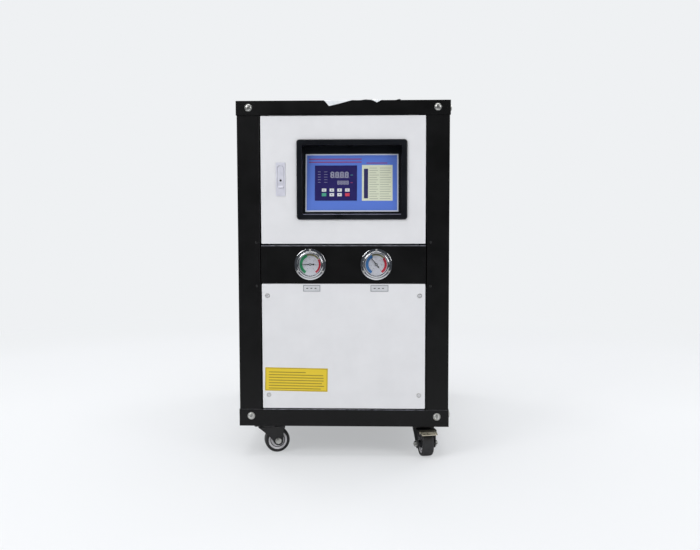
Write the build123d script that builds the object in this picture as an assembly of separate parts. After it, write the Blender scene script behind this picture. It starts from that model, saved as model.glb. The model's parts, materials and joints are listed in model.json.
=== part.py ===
from build123d import *
import os
from math import atan2, cos, degrees, radians, sin

# Mobile air-cooled water chiller, in millimetres.
# X is to the right of someone who faces the door, Y runs from front to back, Z is up from the floor.
# The origin is on the floor under the middle of the cabinet.

# Cabinet
WIDTH = 560.0              # over the corner posts
DEPTH = 900.0              # over the corner posts
HEIGHT = 950.0             # floor to the top cover
CASTER_HEIGHT = 83.6       # floor to the underside of the base
SHEET = 1.5                # steel sheet of the cabinet
BEND = 2.0                 # outside radius of a folded edge
BASE_FLANGE = 45.0         # height of the base tray
COVER_FLANGE = 37.5        # height of the top cover
COVER_FIT = 0.5            # gap between the top cover's flange and the posts

# Corner posts
POST_FACE = 59.0           # width of the front face
POST_SIDE = 62.0           # width of the side face
REBATE = 22.0              # depth of the step that a panel sits in
LIP = 20.0                 # width of the stop that a panel rests on

# Front
PANEL_GAP = 3.7            # between a white panel and a post
LOWER_PANEL_BOTTOM = 132.3
BAND_BOTTOM = 468.5
BAND_TOP = 570.0
BAND_FIT = 2.2             # between the gauge band and a post, clear of the post's bend
DOOR_BOTTOM = 574.9
DOOR_COVER_GAP = 2.0       # between the door and the cover's flange
DOOR_DEPTH = 16.0          # depth of the door's folded edge
PANEL_COVER_GAP = 4.5      # between a side or rear panel and the cover's flange

# Door hinge
HINGE_INSET = 8.0          # pin centre from the door's right edge
HINGE_BACK = 5.0           # pin centre behind the door's face
HINGE_PIN_R = 3.0
RUNNING = 0.05             # radial clearance of a running fit
HINGE_TAB = 2.0            # thickness of the tab that carries a pin
HINGE_TAB_GAP = 1.5        # between a tab and the door
HINGE_TAB_REACH = 6.0      # tab beyond the pin centre
HINGE_TAB_SET = 1.0        # front of the tab behind the door's face
HINGE_TAB_DEPTH = 13.0
HINGE_BUSH = 10.0          # length of the bush in the door
HINGE_PIN_SHORT = 1.0      # pin shorter than its bush

# Moulded surround in the door
BEZEL_WIDTH = 291.7
BEZEL_HEIGHT = 210.6
BEZEL_CENTRE_X = 23.3
BEZEL_UP = 1.0             # its centre above the middle of the door
BEZEL_PROUD = 6.0
BEZEL_RADIUS = 8.0
BEZEL_RIM = 14.5           # width of the rim round the recess
BEZEL_WALL = 2.5
BEZEL_FIT = 1.0            # between the surround and the hole in the door
BEZEL_EDGE = 3.0           # rounding of the rim's front edge

# Control panel on the sloping floor of the recess
FACIA_WIDTH = 246.5
FACIA_LENGTH = 154.6
FACIA_CENTRE_X = 22.6
FACIA_DOWN = 84.3          # its lower edge below the surround's centre
FACIA_BOTTOM_BACK = 7.0    # depth of its lower edge behind the door's face
FACIA_TILT = 9.3           # degrees, the top leans back
FACIA_SHEET = 1.5
FACIA_CORNER = 1.5
DISPLAY_WIDTH = 111.5
DISPLAY_HEIGHT = 94.0
DISPLAY_U = -42.3          # its centre, across the panel
DISPLAY_V = 76.5           # its centre, up the panel
DISPLAY_SHEET = 1.0
KEY_WIDTH = 12.0
KEY_HEIGHT = 8.4
KEY_RISE = 1.4
KEY_RADIUS = 1.2
KEY_U = -73.7              # first column
KEY_PITCH = 20.6
KEY_ROWS = (57.5, 45.1)
KEYS_PER_ROW = 4
CONTROLLER_WIDTH = 104.0
CONTROLLER_HEIGHT = 88.0
CONTROLLER_DEPTH = 36.0
CONTROLLER_FIT = 1.0       # round the controller's case in its window

# Paddle lock
LOCK_X = -164.8
LOCK_UP = 2.4              # its centre above the middle of the door
LOCK_WIDTH = 25.0
LOCK_HEIGHT = 88.0
LOCK_PROUD = 2.0
LOCK_BACK = 22.0           # depth of its housing behind the door's face
LOCK_STEP = 3.0            # hole in the door narrower than the flange
LOCK_CORNER = 1.5
LOCK_FIT = 0.6             # round the housing in the door's hole
POCKET_WIDTH = 18.2
POCKET_UP = 35.9           # top of the pocket above the lock's centre
POCKET_DOWN = 24.2         # bottom of the pocket below the lock's centre
POCKET_DEPTH = 11.0        # from the lock's face
PADDLE_FIT = 0.6           # round the paddle and the button
PADDLE_ARCH = 8.4          # radius of the upper corners of the paddle and its pocket
PADDLE_DOWN = 11.7         # lower end of the paddle below the lock's centre
PADDLE_THICK = 5.0
PADDLE_PIN_R = 1.5
PADDLE_PIN_DOWN = 5.5      # pin centre below the top of the arch
PADDLE_LIP = 2.0           # thickness of the lip that a finger pulls
PADDLE_GRIP = 14.0         # height of the hollow behind the lip
BUTTON_GAP = 0.8           # between the paddle and the button
BUTTON_ROUND = 5.0         # radius of the button's lower corners
BUTTON_TRAVEL = 3.0
TONGUE_REACH = 14.0        # beyond the flange
TONGUE_THICK = 5.0
TONGUE_HEIGHT = 24.0
TONGUE_BEVEL = 4.0

# Gauges in the band
GAUGE_X = (-88.0, 87.5)
GAUGE_Z = 520.0
GAUGE_FLANGE_R = 41.5
GAUGE_FLANGE = 1.5
GAUGE_RING_R = 34.5
GAUGE_PROUD = 10.5
GAUGE_GLASS_R = 29.5
GAUGE_BODY_R = 30.5
GAUGE_BODY = 32.0
GAUGE_FIT = 0.3            # round the case in the band's hole
RING_EDGE = 2.5            # bevel of the ring's front edge
GLASS = 2.0
GLASS_BACK = 1.5           # glass behind the ring's front
DIAL = 0.8
DIAL_BACK = 1.0            # back of the dial behind the band's face
NEEDLE_ANGLES = (180.0, 128.0)
NEEDLE_LENGTH = 24.0
NEEDLE_TAIL = 9.0
STEM_R = 6.6
STEM_LENGTH = 22.0
NEEDLE_THICK = 0.6
NEEDLE_HUB_R = 3.4
NEEDLE_LIFT = 2.0          # front of the needle above the dial
NEEDLE_BULB_R = 2.2
NEEDLE_ROOT = 1.4          # half width at the hub
NEEDLE_TIP = 0.3
NEEDLE_TAIL_WIDTH = 1.8
STEM_SUNK = 0.5            # stem sunk in the case

# Control box behind the door
BOX_SIDE_GAP = 9.0         # between the box and the edge of the front opening
BOX_DEPTH = 128.0
BOX_BOTTOM = 560.0
BOX_TOP_GAP = 10.0         # between the box and the top of the cover
GEAR_PLATE = 2.0
GEAR_MARGIN = 20.0         # between the mounting plate and the box, all round
RAIL_SHORT = 37.0          # between the end of a rail and the box
RAIL_HEIGHT = 34.0
RAIL_DEPTH = 7.0
UNIT_WIDTH = 46.0
UNIT_STEP = 14.0           # depth of the step that the terminals sit in
UNIT_STEP_TOP = 20.0       # top of that step, below the rail's middle
UPPER_UNITS = 6
UPPER_RAIL = 0.79          # its height in the box, as a share
UPPER_HEIGHT = 80.0
UPPER_DEPTH = 70.0
UPPER_PITCH = 56.0
LOWER_UNITS = 5
LOWER_RAIL = 0.487
LOWER_HEIGHT = 78.0
LOWER_DEPTH = 56.0
LOWER_PITCH = 62.0
TERMINALS = 16
TERMINAL_RAIL = 0.21
TERMINAL_WIDTH = 20.0
TERMINAL_HEIGHT = 50.0
TERMINAL_DEPTH = 42.0

# Fan, its ring and its guard
RING_COIL_GAP = 2.5        # between the ring's flared end and a coil
RING_HEIGHT = 58.0
RING_FLARE = 12.0
RING_BELL = 20.0           # height of the flared end
RING_LIP = 8.0             # flat flange under the cover, beyond the flare
GUARD_OVER = 9.0           # guard beyond the hole
GUARD_WIRE = 3.0
GUARD_RISE = 12.0
GUARD_RINGS = 6
GUARD_SPOKES = 8
HUB_R = 48.0
HUB_HEIGHT = 34.0
HUB_BEVEL = 6.0
BLADES = 5
BLADE_TIP_GAP = 6.0
BLADE_ROOT = 58.0          # width at the hub, seen from above
BLADE_TIP = 118.0          # width at the tip, seen from above
BLADE_SWEEP = 16.0         # how far the tip leads the root
BLADE_CHORD = 128.0        # of the curved sheet that the blades are cut from
BLADE_CAMBER = 13.0
BLADE_THICK = 2.0
BLADE_PITCH = 17.0         # degrees
BLADE_ROOT_IN = 6.0        # blade sunk in the hub
MOTOR_R = 44.0
MOTOR_HEIGHT = 70.0
MOTOR_GAP = 3.0
MOTOR_BEVEL = 4.0
MOTOR_SHAFT_R = 6.0
ARM_WIDTH = 16.0
ARM_HEIGHT = 8.0

# Condenser
COIL_THICK = 44.0
COIL_PANEL_GAP = 8.0       # between a coil and the side panel's folded edge
COIL_FRONT_GAP = 12.0      # behind the control box
COIL_BACK_GAP = 40.0       # in front of the rear panel's lip
COIL_TOP_GAP = 50.0        # between a coil and the top of the cover
COIL_END = 2.0             # end plate
COIL_END_GROWN = 3.0       # end plate wider than the fins, each side
HEADER_R = 9.0             # pipes that feed the coils
HEADER_INSET = 1.0         # header sunk in the end plate
HEADER_SHORT = 40.0        # header shorter than the coil, at each end

# Louvres pressed in the side and rear panels
LOUVRE_LENGTH = 150.0
LOUVRE_HEIGHT = 9.0
LOUVRE_RISE = 7.0
LOUVRE_ROWS = 10
LOUVRE_COLUMNS = 3
LOUVRE_FIRST = 40.0        # lowest row above the bottom of the control box
LOUVRE_LAST = 74.0         # highest row below the top of the panel

# Water connections
PORT_BORE_R = 12.1
PORT_BORE = 22.0
PORT_HEX = 36.0
PORT_OUT = 16.0
PORT_NUT = 42.0
PORT_NUT_THICK = 6.0
PORT_SHANK_R = 17.0
PORT_IN = 30.0
PORT_FIT = 0.3
PORT_X = -150.0
INLET_Z = 420.0
OUTLET_Z = 320.0
DRAIN_Z = 190.0
DRAIN_BORE_R = 9.4
GLAND_X = 150.0
GLAND_Z = 420.0
GLAND_BORE_R = 6.5
GLAND_HEX = 30.0
GLAND_HEX_THICK = 6.0
GLAND_DOME_R = 13.0
GLAND_DOME_BEVEL = 3.0
GLAND_OUT = 20.0
GLAND_SHANK_R = 12.0
GLAND_IN = 14.0
GLAND_NUT_THICK = 5.0

# Casters
SWIVEL_IN = 65.5           # swivel axis inside the side of the cabinet
SWIVEL_BACK = 46.0         # swivel axis behind the post's face
TRAIL = 29.0
WHEEL_R = 34.0
TYRE_WIDTH = 32.0
TYRE_THICK = 8.0
TYRE_CROWN = 5.0
TYRE_SHOULDER = 6.0        # width of the tread's bevel
CORE_WIDTH = 27.0
CORE_FIT = 0.05
CORE_RIM = 7.0             # width of the rim's flat ring
CORE_DISH = 4.0            # depth of the face inside that ring
BOSS_R = 9.0
FORK_WIDTH = 50.0
FORK_SHEET = 2.5
FORK_TOP = 74.0
FORK_FRONT = 24.0          # crown in front of the swivel axis
FORK_REAR = 48.0           # leg behind the swivel axis
FORK_REAR_BRAKED = 50.0
CROWN_REAR_BRAKED = 38.0   # crown cut back for the pedal
FORK_GAP = 0.4             # between a wheel boss and a leg
LEG_FOOT = 12.5            # radius of a leg's lower end
LEG_FOOT_BACK = 1.0        # centre of that radius behind the axle
LEG_SPINE = 15.0           # where the leg's rear edge ends, behind the axle
LEG_FLARE = 8.0            # height over which the rear edge widens to the crown
LEG_HEM = 4.0              # straight end of the leg under the crown
LEG_FRONT_HEM = 2.0
LEG_FRONT_STEP = 1.0
LEG_ELBOW_X = 35.0         # corner of the front edge, in front of the axle and above it
LEG_ELBOW_Z = 23.5
LEG_KNEE_X = 21.5          # next corner of the front edge
LEG_KNEE_Z = 10.0
AXLE_R = 4.0
AXLE_HEX = 13.0
AXLE_NUT = 5.6
PLATE_THICK = 2.5
PLATE_X = 60.0
PLATE_Y = 74.0
PLATE_CORNER = 6.0
RACE_R = 24.0
RACE_HEIGHT = 4.0
RACE_LIP = 2.0             # lower race wider than the upper one
RACE_GAP = 0.3
KINGPIN_R = 5.0
KINGPIN_HEAD_R = 8.0
KINGPIN_HEAD = 3.0
PEDAL_PIN_R = 2.5
PEDAL_PIN_T = 45.0         # along the trail from the swivel axis
PEDAL_PIN_Z = 69.5
PEDAL_KNUCKLE_R = 3.7
PEDAL_LOBE = 4.4
PEDAL_LOBE_WIDTH = 3.2
PEDAL_FRONT = 4.0          # sheet in front of its pin
PEDAL_FLAT = 17.0          # level part of the sheet behind its pin
PEDAL_SET = 0.5            # top of the sheet below the fork's crown
PEDAL_TIP_Z = 67.5
PEDAL_BEND = 6.0
PEDAL_STROKE = 20.0        # degrees
PEDAL_SHEET = 2.4
PEDAL_WIDTH = 43.0
PEDAL_REACH = 74.0

# Derived places
FRONT = -DEPTH / 2
REAR = DEPTH / 2
SIDE = WIDTH / 2
BASE_TOP = CASTER_HEIGHT + BASE_FLANGE
BASE_FLOOR = CASTER_HEIGHT + SHEET
COVER_UNDER = HEIGHT - SHEET
COVER_BOTTOM = HEIGHT - COVER_FLANGE
OPENING = SIDE - POST_FACE               # half of the opening between the posts
PANEL_HALF = OPENING - PANEL_GAP
DOOR_TOP = COVER_BOTTOM - DOOR_COVER_GAP
DOOR_MIDDLE = (DOOR_BOTTOM + DOOR_TOP) / 2
PANEL_TOP = COVER_BOTTOM - PANEL_COVER_GAP
BEZEL_CENTRE_Z = DOOR_MIDDLE + BEZEL_UP
FACIA_BOTTOM_Z = BEZEL_CENTRE_Z - FACIA_DOWN
LOCK_Z = DOOR_MIDDLE + LOCK_UP
POCKET_TOP = LOCK_Z + POCKET_UP
POCKET_BOTTOM = LOCK_Z - POCKET_DOWN
PADDLE_BOTTOM = LOCK_Z - PADDLE_DOWN
BUTTON_TOP = PADDLE_BOTTOM - BUTTON_GAP
HINGE_X = PANEL_HALF - HINGE_INSET
HINGE_Y = FRONT + HINGE_BACK
LIP_BACK = FRONT + REBATE + SHEET
SIDE_LIP_INNER = SIDE - REBATE - SHEET
BOX_SIDE = OPENING - BOX_SIDE_GAP
BOX_TOP = HEIGHT - BOX_TOP_GAP
BOX_HEIGHT = BOX_TOP - BOX_BOTTOM
RAIL_LENGTH = 2 * (BOX_SIDE - RAIL_SHORT)
COIL_OUTER = SIDE_LIP_INNER - COIL_PANEL_GAP
COIL_INNER = COIL_OUTER - COIL_THICK
COIL_TOP = HEIGHT - COIL_TOP_GAP
FAN_HOLE_R = COIL_INNER - RING_COIL_GAP - RING_FLARE
GUARD_R = FAN_HOLE_R + GUARD_OVER
SWIVEL_X = SIDE - SWIVEL_IN


def block(x0, x1, y0, y1, z0, z1):
    """A box between two corners."""
    return Pos((x0 + x1) / 2, (y0 + y1) / 2, (z0 + z1) / 2) * Box(x1 - x0, y1 - y0, z1 - z0)


def folded(points, thickness, height, z, side=Side.RIGHT):
    """Sheet folded along a path seen from above, standing from z upwards."""
    path = FilletPolyline(*points, radius=BEND)
    outline = make_face(offset(path, amount=thickness, side=side).edges())
    return Pos(0, 0, z) * extrude(outline, height, dir=(0, 0, 1))


def along_y(face, y, length):
    """A face drawn in X and Z, pushed from y towards the back."""
    return Pos(0, y, 0) * extrude(Plane.XZ * face, length, dir=(0, 1, 0))


def turned(points, x, z):
    """A section given as radius and Y, turned about the line along Y through x and z."""
    section = make_face(Polyline(*points, close=True))
    return Pos(x, 0, z) * revolve(section, Axis.Y)


def pan(half, depth, z0, z1):
    """A panel with folded edges. Its face is on Y = 0 and its open back looks along +Y."""
    body = Pos(0, depth / 2, (z0 + z1) / 2) * Box(2 * half, depth, z1 - z0)
    body = fillet(body.edges().filter_by(Axis.Y), BEND)
    back = body.faces().sort_by(Axis.Y)[-1]
    return offset(body, amount=-SHEET, openings=back)


def write(name, shape):
    """Writes one named piece."""
    export_step(Compound(label=name, children=list(shape.solids())), f"parts/{name}.step")


# Base, posts and cover

def base_frame():
    """Tray that everything stands on."""
    outer = block(-SIDE - SHEET, SIDE + SHEET, FRONT - SHEET, REAR + SHEET, CASTER_HEIGHT, BASE_TOP)
    outer = fillet(outer.edges().filter_by(Axis.Z), BEND)
    return offset(outer, amount=-SHEET, openings=outer.faces().sort_by(Axis.Z)[-1])


def corner_post():
    """Front left post: one folded sheet with a rebate for the front and the side panels."""
    lip_end = OPENING - LIP
    points = [
        (-lip_end, FRONT + REBATE),
        (-OPENING, FRONT + REBATE),
        (-OPENING, FRONT),
        (-SIDE, FRONT),
        (-SIDE, FRONT + POST_SIDE),
        (-SIDE + REBATE, FRONT + POST_SIDE),
        (-SIDE + REBATE, FRONT + POST_SIDE + LIP),
    ]
    return folded(points, SHEET, COVER_UNDER - BASE_FLOOR, BASE_FLOOR)


def top_cover():
    """Folded cover with the round hole of the fan."""
    reach = COVER_FIT + SHEET
    outer = block(-SIDE - reach, SIDE + reach, FRONT - reach, REAR + reach, COVER_BOTTOM, HEIGHT)
    outer = fillet(outer.edges().filter_by(Axis.Z), BEND)
    cover = offset(outer, amount=-SHEET, openings=outer.faces().sort_by(Axis.Z)[0])
    return cover - Pos(0, 0, HEIGHT) * Cylinder(FAN_HOLE_R, 4 * SHEET)


# Front panels

def mid_band():
    """Black band that carries the gauges."""
    band = Pos(0, FRONT, 0) * pan(OPENING - BAND_FIT, REBATE, BAND_BOTTOM, BAND_TOP)
    for x in GAUGE_X:
        band -= Pos(x, FRONT, GAUGE_Z) * Rot(90, 0, 0) * Cylinder(GAUGE_BODY_R + GAUGE_FIT, 4 * SHEET)
    return band


def lower_front_panel():
    """White panel under the band."""
    top = BAND_BOTTOM - COVER_FIT
    return Pos(0, FRONT, 0) * pan(PANEL_HALF, REBATE, LOWER_PANEL_BOTTOM, top)


# Louvred panels

def louvre_hood():
    """One pressed louvre: a curved hood that is open along its lower edge, standing out along -Y."""
    arc = ThreePointArc((0, LOUVRE_HEIGHT), (-0.72 * LOUVRE_RISE, 0.6 * LOUVRE_HEIGHT), (-LOUVRE_RISE, 0))
    skin = make_face(offset(arc, amount=SHEET, side=Side.LEFT).edges())
    hood = extrude(Plane.YZ * skin, LOUVRE_LENGTH / 2, both=True)
    inside = make_face([arc.edge(), *Polyline((-LOUVRE_RISE, 0), (0, 0), (0, LOUVRE_HEIGHT)).edges()])
    cheek = extrude(Plane.YZ * inside, SHEET, dir=(1, 0, 0))
    ends = LOUVRE_LENGTH / 2 - SHEET
    return hood + Pos(ends, 0, 0) * cheek + Pos(-LOUVRE_LENGTH / 2, 0, 0) * cheek


def louvred_panel(half, z0, z1, columns):
    """Panel with rows of louvres, its face on Y = 0."""
    hood = louvre_hood()
    first = BOX_BOTTOM + LOUVRE_FIRST
    pitch = (z1 - LOUVRE_LAST - first) / (LOUVRE_ROWS - 1)
    step = 2 * half / columns
    slot = LOUVRE_LENGTH / 2 - SHEET
    slots, hoods = [], []
    for column in range(columns):
        x = (column - (columns - 1) / 2) * step
        for row in range(LOUVRE_ROWS):
            z = first + row * pitch
            slots.append(block(x - slot, x + slot, -SHEET, 2 * SHEET, z, z + LOUVRE_HEIGHT - SHEET))
            hoods.append(Pos(x, 0, z) * hood)
    return pan(half, REBATE, z0, z1) - slots + hoods


def side_panel():
    """Left side panel."""
    half = DEPTH / 2 - POST_SIDE - PANEL_GAP
    panel = louvred_panel(half, LOWER_PANEL_BOTTOM, PANEL_TOP, LOUVRE_COLUMNS)
    return Pos(-SIDE, 0, 0) * Rot(0, 0, -90) * panel


def rear_panel():
    """Rear panel with holes for the water connections and the cable gland."""
    panel = louvred_panel(PANEL_HALF, LOWER_PANEL_BOTTOM, PANEL_TOP, 2)
    panel = Pos(0, REAR, 0) * Rot(0, 0, 180) * panel
    holes = [(PORT_X, INLET_Z, PORT_SHANK_R), (PORT_X, OUTLET_Z, PORT_SHANK_R)]
    holes += [(PORT_X, DRAIN_Z, PORT_SHANK_R), (GLAND_X, GLAND_Z, GLAND_SHANK_R)]
    for x, z, radius in holes:
        panel -= Pos(x, REAR, z) * Rot(90, 0, 0) * Cylinder(radius + PORT_FIT, 4 * SHEET)
    return panel


def hexagon_y(flats, length, way):
    """Hexagonal bar from Y = 0 along Y."""
    return extrude(Plane.XZ * RegularPolygon(flats / 2, 6, major_radius=False), length, dir=(0, way, 0))


def rod_y(radius, y0, y1):
    """Round bar along Y."""
    return Pos(0, (y0 + y1) / 2, 0) * Rot(90, 0, 0) * Cylinder(radius, y1 - y0)


def port(x, z, bore_r):
    """Threaded water socket held in the rear panel by its hexagon and a locknut."""
    body = hexagon_y(PORT_HEX, PORT_OUT, 1) + rod_y(PORT_SHANK_R, -PORT_IN, 0)
    body += Pos(0, -SHEET, 0) * hexagon_y(PORT_NUT, PORT_NUT_THICK, -1)
    return Pos(x, REAR, z) * (body - rod_y(bore_r, PORT_OUT - PORT_BORE, PORT_OUT))


def cable_gland():
    """Empty gland for the mains cable."""
    dome = chamfer(rod_y(GLAND_DOME_R, 0, GLAND_OUT).edges().sort_by(Axis.Y)[-1], GLAND_DOME_BEVEL)
    body = hexagon_y(GLAND_HEX, GLAND_HEX_THICK, 1) + dome + rod_y(GLAND_SHANK_R, -GLAND_IN, 0)
    body += Pos(0, -SHEET, 0) * hexagon_y(GLAND_HEX, GLAND_NUT_THICK, -1)
    return Pos(GLAND_X, REAR, GLAND_Z) * (body - rod_y(GLAND_BORE_R, -GLAND_IN, GLAND_OUT))


# Inside

def control_box():
    """Steel box behind the door, open at its front."""
    outer = block(-BOX_SIDE, BOX_SIDE, LIP_BACK, LIP_BACK + BOX_DEPTH, BOX_BOTTOM, BOX_TOP)
    return offset(outer, amount=-SHEET, openings=outer.faces().sort_by(Axis.Y)[0])


def gear_rail(back, z):
    """A mounting rail on the plate."""
    half = RAIL_HEIGHT / 2
    face = back - GEAR_PLATE
    return block(-RAIL_LENGTH / 2, RAIL_LENGTH / 2, face - RAIL_DEPTH, face, z - half, z + half)


def gear_row(back, share, count, height, depth, pitch):
    """A rail with a row of contactors, each with a step for its terminals."""
    face = back - GEAR_PLATE
    z = BOX_BOTTOM + share * BOX_HEIGHT
    row = [gear_rail(back, z)]
    step = block(0, UNIT_WIDTH, back - depth, back - depth + UNIT_STEP, z - height / 2, z - UNIT_STEP_TOP)
    unit = block(0, UNIT_WIDTH, back - depth, face - RAIL_DEPTH, z - height / 2, z + height / 2) - step
    for i in range(count):
        row.append(Pos((i - (count - 1) / 2) * pitch - UNIT_WIDTH / 2, 0, 0) * unit)
    return row


def control_gear():
    """Mounting plate with rails, contactors and terminal blocks."""
    back = LIP_BACK + BOX_DEPTH - SHEET
    half = BOX_SIDE - GEAR_MARGIN
    plate = block(-half, half, back - GEAR_PLATE, back, BOX_BOTTOM + GEAR_MARGIN, BOX_TOP - GEAR_MARGIN)
    gear = gear_row(back, UPPER_RAIL, UPPER_UNITS, UPPER_HEIGHT, UPPER_DEPTH, UPPER_PITCH)
    gear += gear_row(back, LOWER_RAIL, LOWER_UNITS, LOWER_HEIGHT, LOWER_DEPTH, LOWER_PITCH)
    z = BOX_BOTTOM + TERMINAL_RAIL * BOX_HEIGHT
    gear.append(gear_rail(back, z))
    face = back - GEAR_PLATE - RAIL_DEPTH
    low, high = z - TERMINAL_HEIGHT / 2, z + TERMINAL_HEIGHT / 2
    pitch = (RAIL_LENGTH - TERMINAL_WIDTH) / (TERMINALS - 1)
    for i in range(TERMINALS):
        x = (i - (TERMINALS - 1) / 2) * pitch
        half = TERMINAL_WIDTH / 2
        gear.append(block(x - half, x + half, back - TERMINAL_DEPTH, face, low, high))
    return plate + gear


def inner_deck():
    """Sheet that divides the air space from the machine space."""
    return block(-SIDE_LIP_INNER, SIDE_LIP_INNER, LIP_BACK, -LIP_BACK, BOX_BOTTOM - SHEET, BOX_BOTTOM)


def condenser_coils():
    """Finned coils behind the side louvres, with their end plates and header pipes."""
    front = LIP_BACK + BOX_DEPTH + COIL_FRONT_GAP
    back = -LIP_BACK - COIL_BACK_GAP
    coil = block(COIL_INNER, COIL_OUTER, front, back, BOX_BOTTOM, COIL_TOP)
    inner, outer = COIL_INNER - COIL_END_GROWN, COIL_OUTER + COIL_END_GROWN
    for y in (front, back - COIL_END):
        coil += block(inner, outer, y, y + COIL_END, BOX_BOTTOM, COIL_TOP)
    length = COIL_TOP - BOX_BOTTOM - 2 * HEADER_SHORT
    header = Cylinder(HEADER_R, length)
    header_y = back + HEADER_R - HEADER_INSET
    for x in (COIL_INNER + HEADER_R, COIL_OUTER - HEADER_R):
        coil += Pos(x, header_y, (BOX_BOTTOM + COIL_TOP) / 2) * header
    return coil + mirror(coil, Plane.YZ)


# Fan

def fan_ring():
    """Flared inlet ring hung under the cover."""
    bottom = COVER_UNDER - RING_HEIGHT
    bell = bottom + RING_BELL
    inner = FAN_HOLE_R
    flare = inner + RING_FLARE
    lip = flare + RING_LIP
    knee = inner + 0.3 * RING_FLARE
    knee_z = bottom + 0.4 * RING_BELL
    points = [
        (inner, COVER_UNDER), (inner, bell), (knee - SHEET / 2, knee_z), (flare - SHEET, bottom),
        (flare, bottom), (knee + SHEET, knee_z), (inner + SHEET, bell),
        (inner + SHEET, COVER_UNDER - SHEET), (lip, COVER_UNDER - SHEET), (lip, COVER_UNDER),
    ]
    return revolve(Plane.XZ * make_face(Polyline(*points, close=True)), Axis.Z)


def ring_bar(radius, z):
    """One ring of the guard."""
    section = Pos(radius, z) * Rectangle(GUARD_WIRE, GUARD_WIRE)
    return revolve(Plane.XZ * section, Axis.Z)


def guard_height(radius):
    """Centre height of the guard's wire at a radius."""
    return HEIGHT + GUARD_WIRE / 2 + GUARD_RISE * (1 - (radius / GUARD_R) ** 2)


def fan_guard():
    """Domed guard of rings carried by spokes."""
    radii = [GUARD_R * i / GUARD_RINGS for i in range(1, GUARD_RINGS + 1)]
    rings = [ring_bar(radius, guard_height(radius)) for radius in radii]
    low = GUARD_R / GUARD_RINGS
    stations = [low + (GUARD_R - low) * i / 4 for i in range(5)]
    upper = [(r, guard_height(r) + GUARD_WIRE / 2) for r in stations]
    lower = [(r, guard_height(r) - GUARD_WIRE / 2) for r in reversed(stations)]
    spoke = extrude(Plane.XZ * make_face(Polyline(*upper, *lower, close=True)), GUARD_WIRE / 2, both=True)
    spokes = [Rot(0, 0, 360 * i / GUARD_SPOKES) * spoke for i in range(GUARD_SPOKES)]
    return rings[0] + rings[1:] + spokes


def fan_blade(tip_r):
    """Blade along +X: curved sheet, pitched, and cut to a swept and widening outline."""
    half = BLADE_CHORD / 2
    curve = ThreePointArc((-half, 0), (0, BLADE_CAMBER), (half, 0))
    sheet = make_face(offset(curve, amount=BLADE_THICK, side=Side.LEFT).edges())
    blank = extrude(Plane.YZ * (Rot(0, 0, BLADE_PITCH) * sheet), tip_r + BLADE_TIP / 2, dir=(1, 0, 0))
    root = HUB_R - BLADE_ROOT_IN
    reach = tip_r + BLADE_TIP / 2
    outline = make_face(Polyline(
        (root, -BLADE_ROOT / 2), (reach, BLADE_SWEEP - BLADE_TIP / 2),
        (reach, BLADE_SWEEP + BLADE_TIP / 2), (root, BLADE_ROOT / 2), close=True))
    blank &= extrude(outline, BLADE_CHORD, both=True)
    return blank & Cylinder(tip_r, BLADE_CHORD)


def fan_rotor():
    """Hub with pitched and cambered blades."""
    z = COVER_UNDER - RING_HEIGHT / 2
    hub = Cylinder(HUB_R, HUB_HEIGHT)
    hub = chamfer(hub.edges().sort_by(Axis.Z)[-1], HUB_BEVEL)
    blade = Pos(0, 0, -BLADE_CAMBER / 2) * fan_blade(FAN_HOLE_R - BLADE_TIP_GAP)
    blades = [Rot(0, 0, 360 * i / BLADES) * blade for i in range(BLADES)]
    return Pos(0, 0, z) * (hub + blades - Cylinder(MOTOR_SHAFT_R, 2 * HUB_HEIGHT))


def fan_motor():
    """Motor under the rotor, on three arms from the ring."""
    rotor_z = COVER_UNDER - RING_HEIGHT / 2
    top = rotor_z - HUB_HEIGHT / 2 - MOTOR_GAP
    motor = Pos(0, 0, top - MOTOR_HEIGHT / 2) * Cylinder(MOTOR_R, MOTOR_HEIGHT)
    motor = chamfer(motor.edges().filter_by(GeomType.CIRCLE), MOTOR_BEVEL)
    shaft_top = rotor_z + HUB_HEIGHT / 2
    motor += Pos(0, 0, (top + shaft_top) / 2) * Cylinder(MOTOR_SHAFT_R, shaft_top - top)
    ring_bottom = COVER_UNDER - RING_HEIGHT
    root = MOTOR_R - MOTOR_BEVEL
    half = ARM_WIDTH / 2
    arm = block(root, FAN_HOLE_R + RING_FLARE, -half, half, ring_bottom - ARM_HEIGHT, ring_bottom)
    for i in range(3):
        motor += Rot(0, 0, 90 + 120 * i) * arm
    return motor


# Door

def hinge_bush(z):
    """Bush in a corner of the door that a hinge pin turns in."""
    half = HINGE_BUSH / 2
    reach = HINGE_INSET - SHEET / 2
    back = DOOR_DEPTH - HINGE_BACK
    return block(HINGE_X - reach, HINGE_X + reach, FRONT + SHEET / 2, HINGE_Y + back / 2, z - half, z + half)


def door_panel():
    """Door leaf with its holes and hinge bushes."""
    door = Pos(0, FRONT, 0) * pan(PANEL_HALF, DOOR_DEPTH, DOOR_BOTTOM, DOOR_TOP)
    width = BEZEL_WIDTH - 2 * BEZEL_RIM + 2 * BEZEL_WALL + 2 * BEZEL_FIT
    height = BEZEL_HEIGHT - 2 * BEZEL_RIM + 2 * BEZEL_WALL + 2 * BEZEL_FIT
    hole = Pos(BEZEL_CENTRE_X, BEZEL_CENTRE_Z) * RectangleRounded(width, height, BEZEL_RADIUS)
    door -= along_y(hole, FRONT - SHEET, 3 * SHEET)
    lock = Pos(LOCK_X, LOCK_Z) * Rectangle(LOCK_WIDTH - LOCK_STEP, LOCK_HEIGHT - LOCK_STEP)
    door -= along_y(lock, FRONT - SHEET, 3 * SHEET)
    half = HINGE_BUSH / 2
    for z in (DOOR_BOTTOM + half, DOOR_TOP - half):
        door += hinge_bush(z)
    bore = HINGE_PIN_R + RUNNING
    for z in (DOOR_BOTTOM + half, DOOR_TOP - half):
        door -= Pos(HINGE_X, HINGE_Y, z) * Cylinder(bore, HINGE_BUSH + 2 * RUNNING)
    return door


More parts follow.
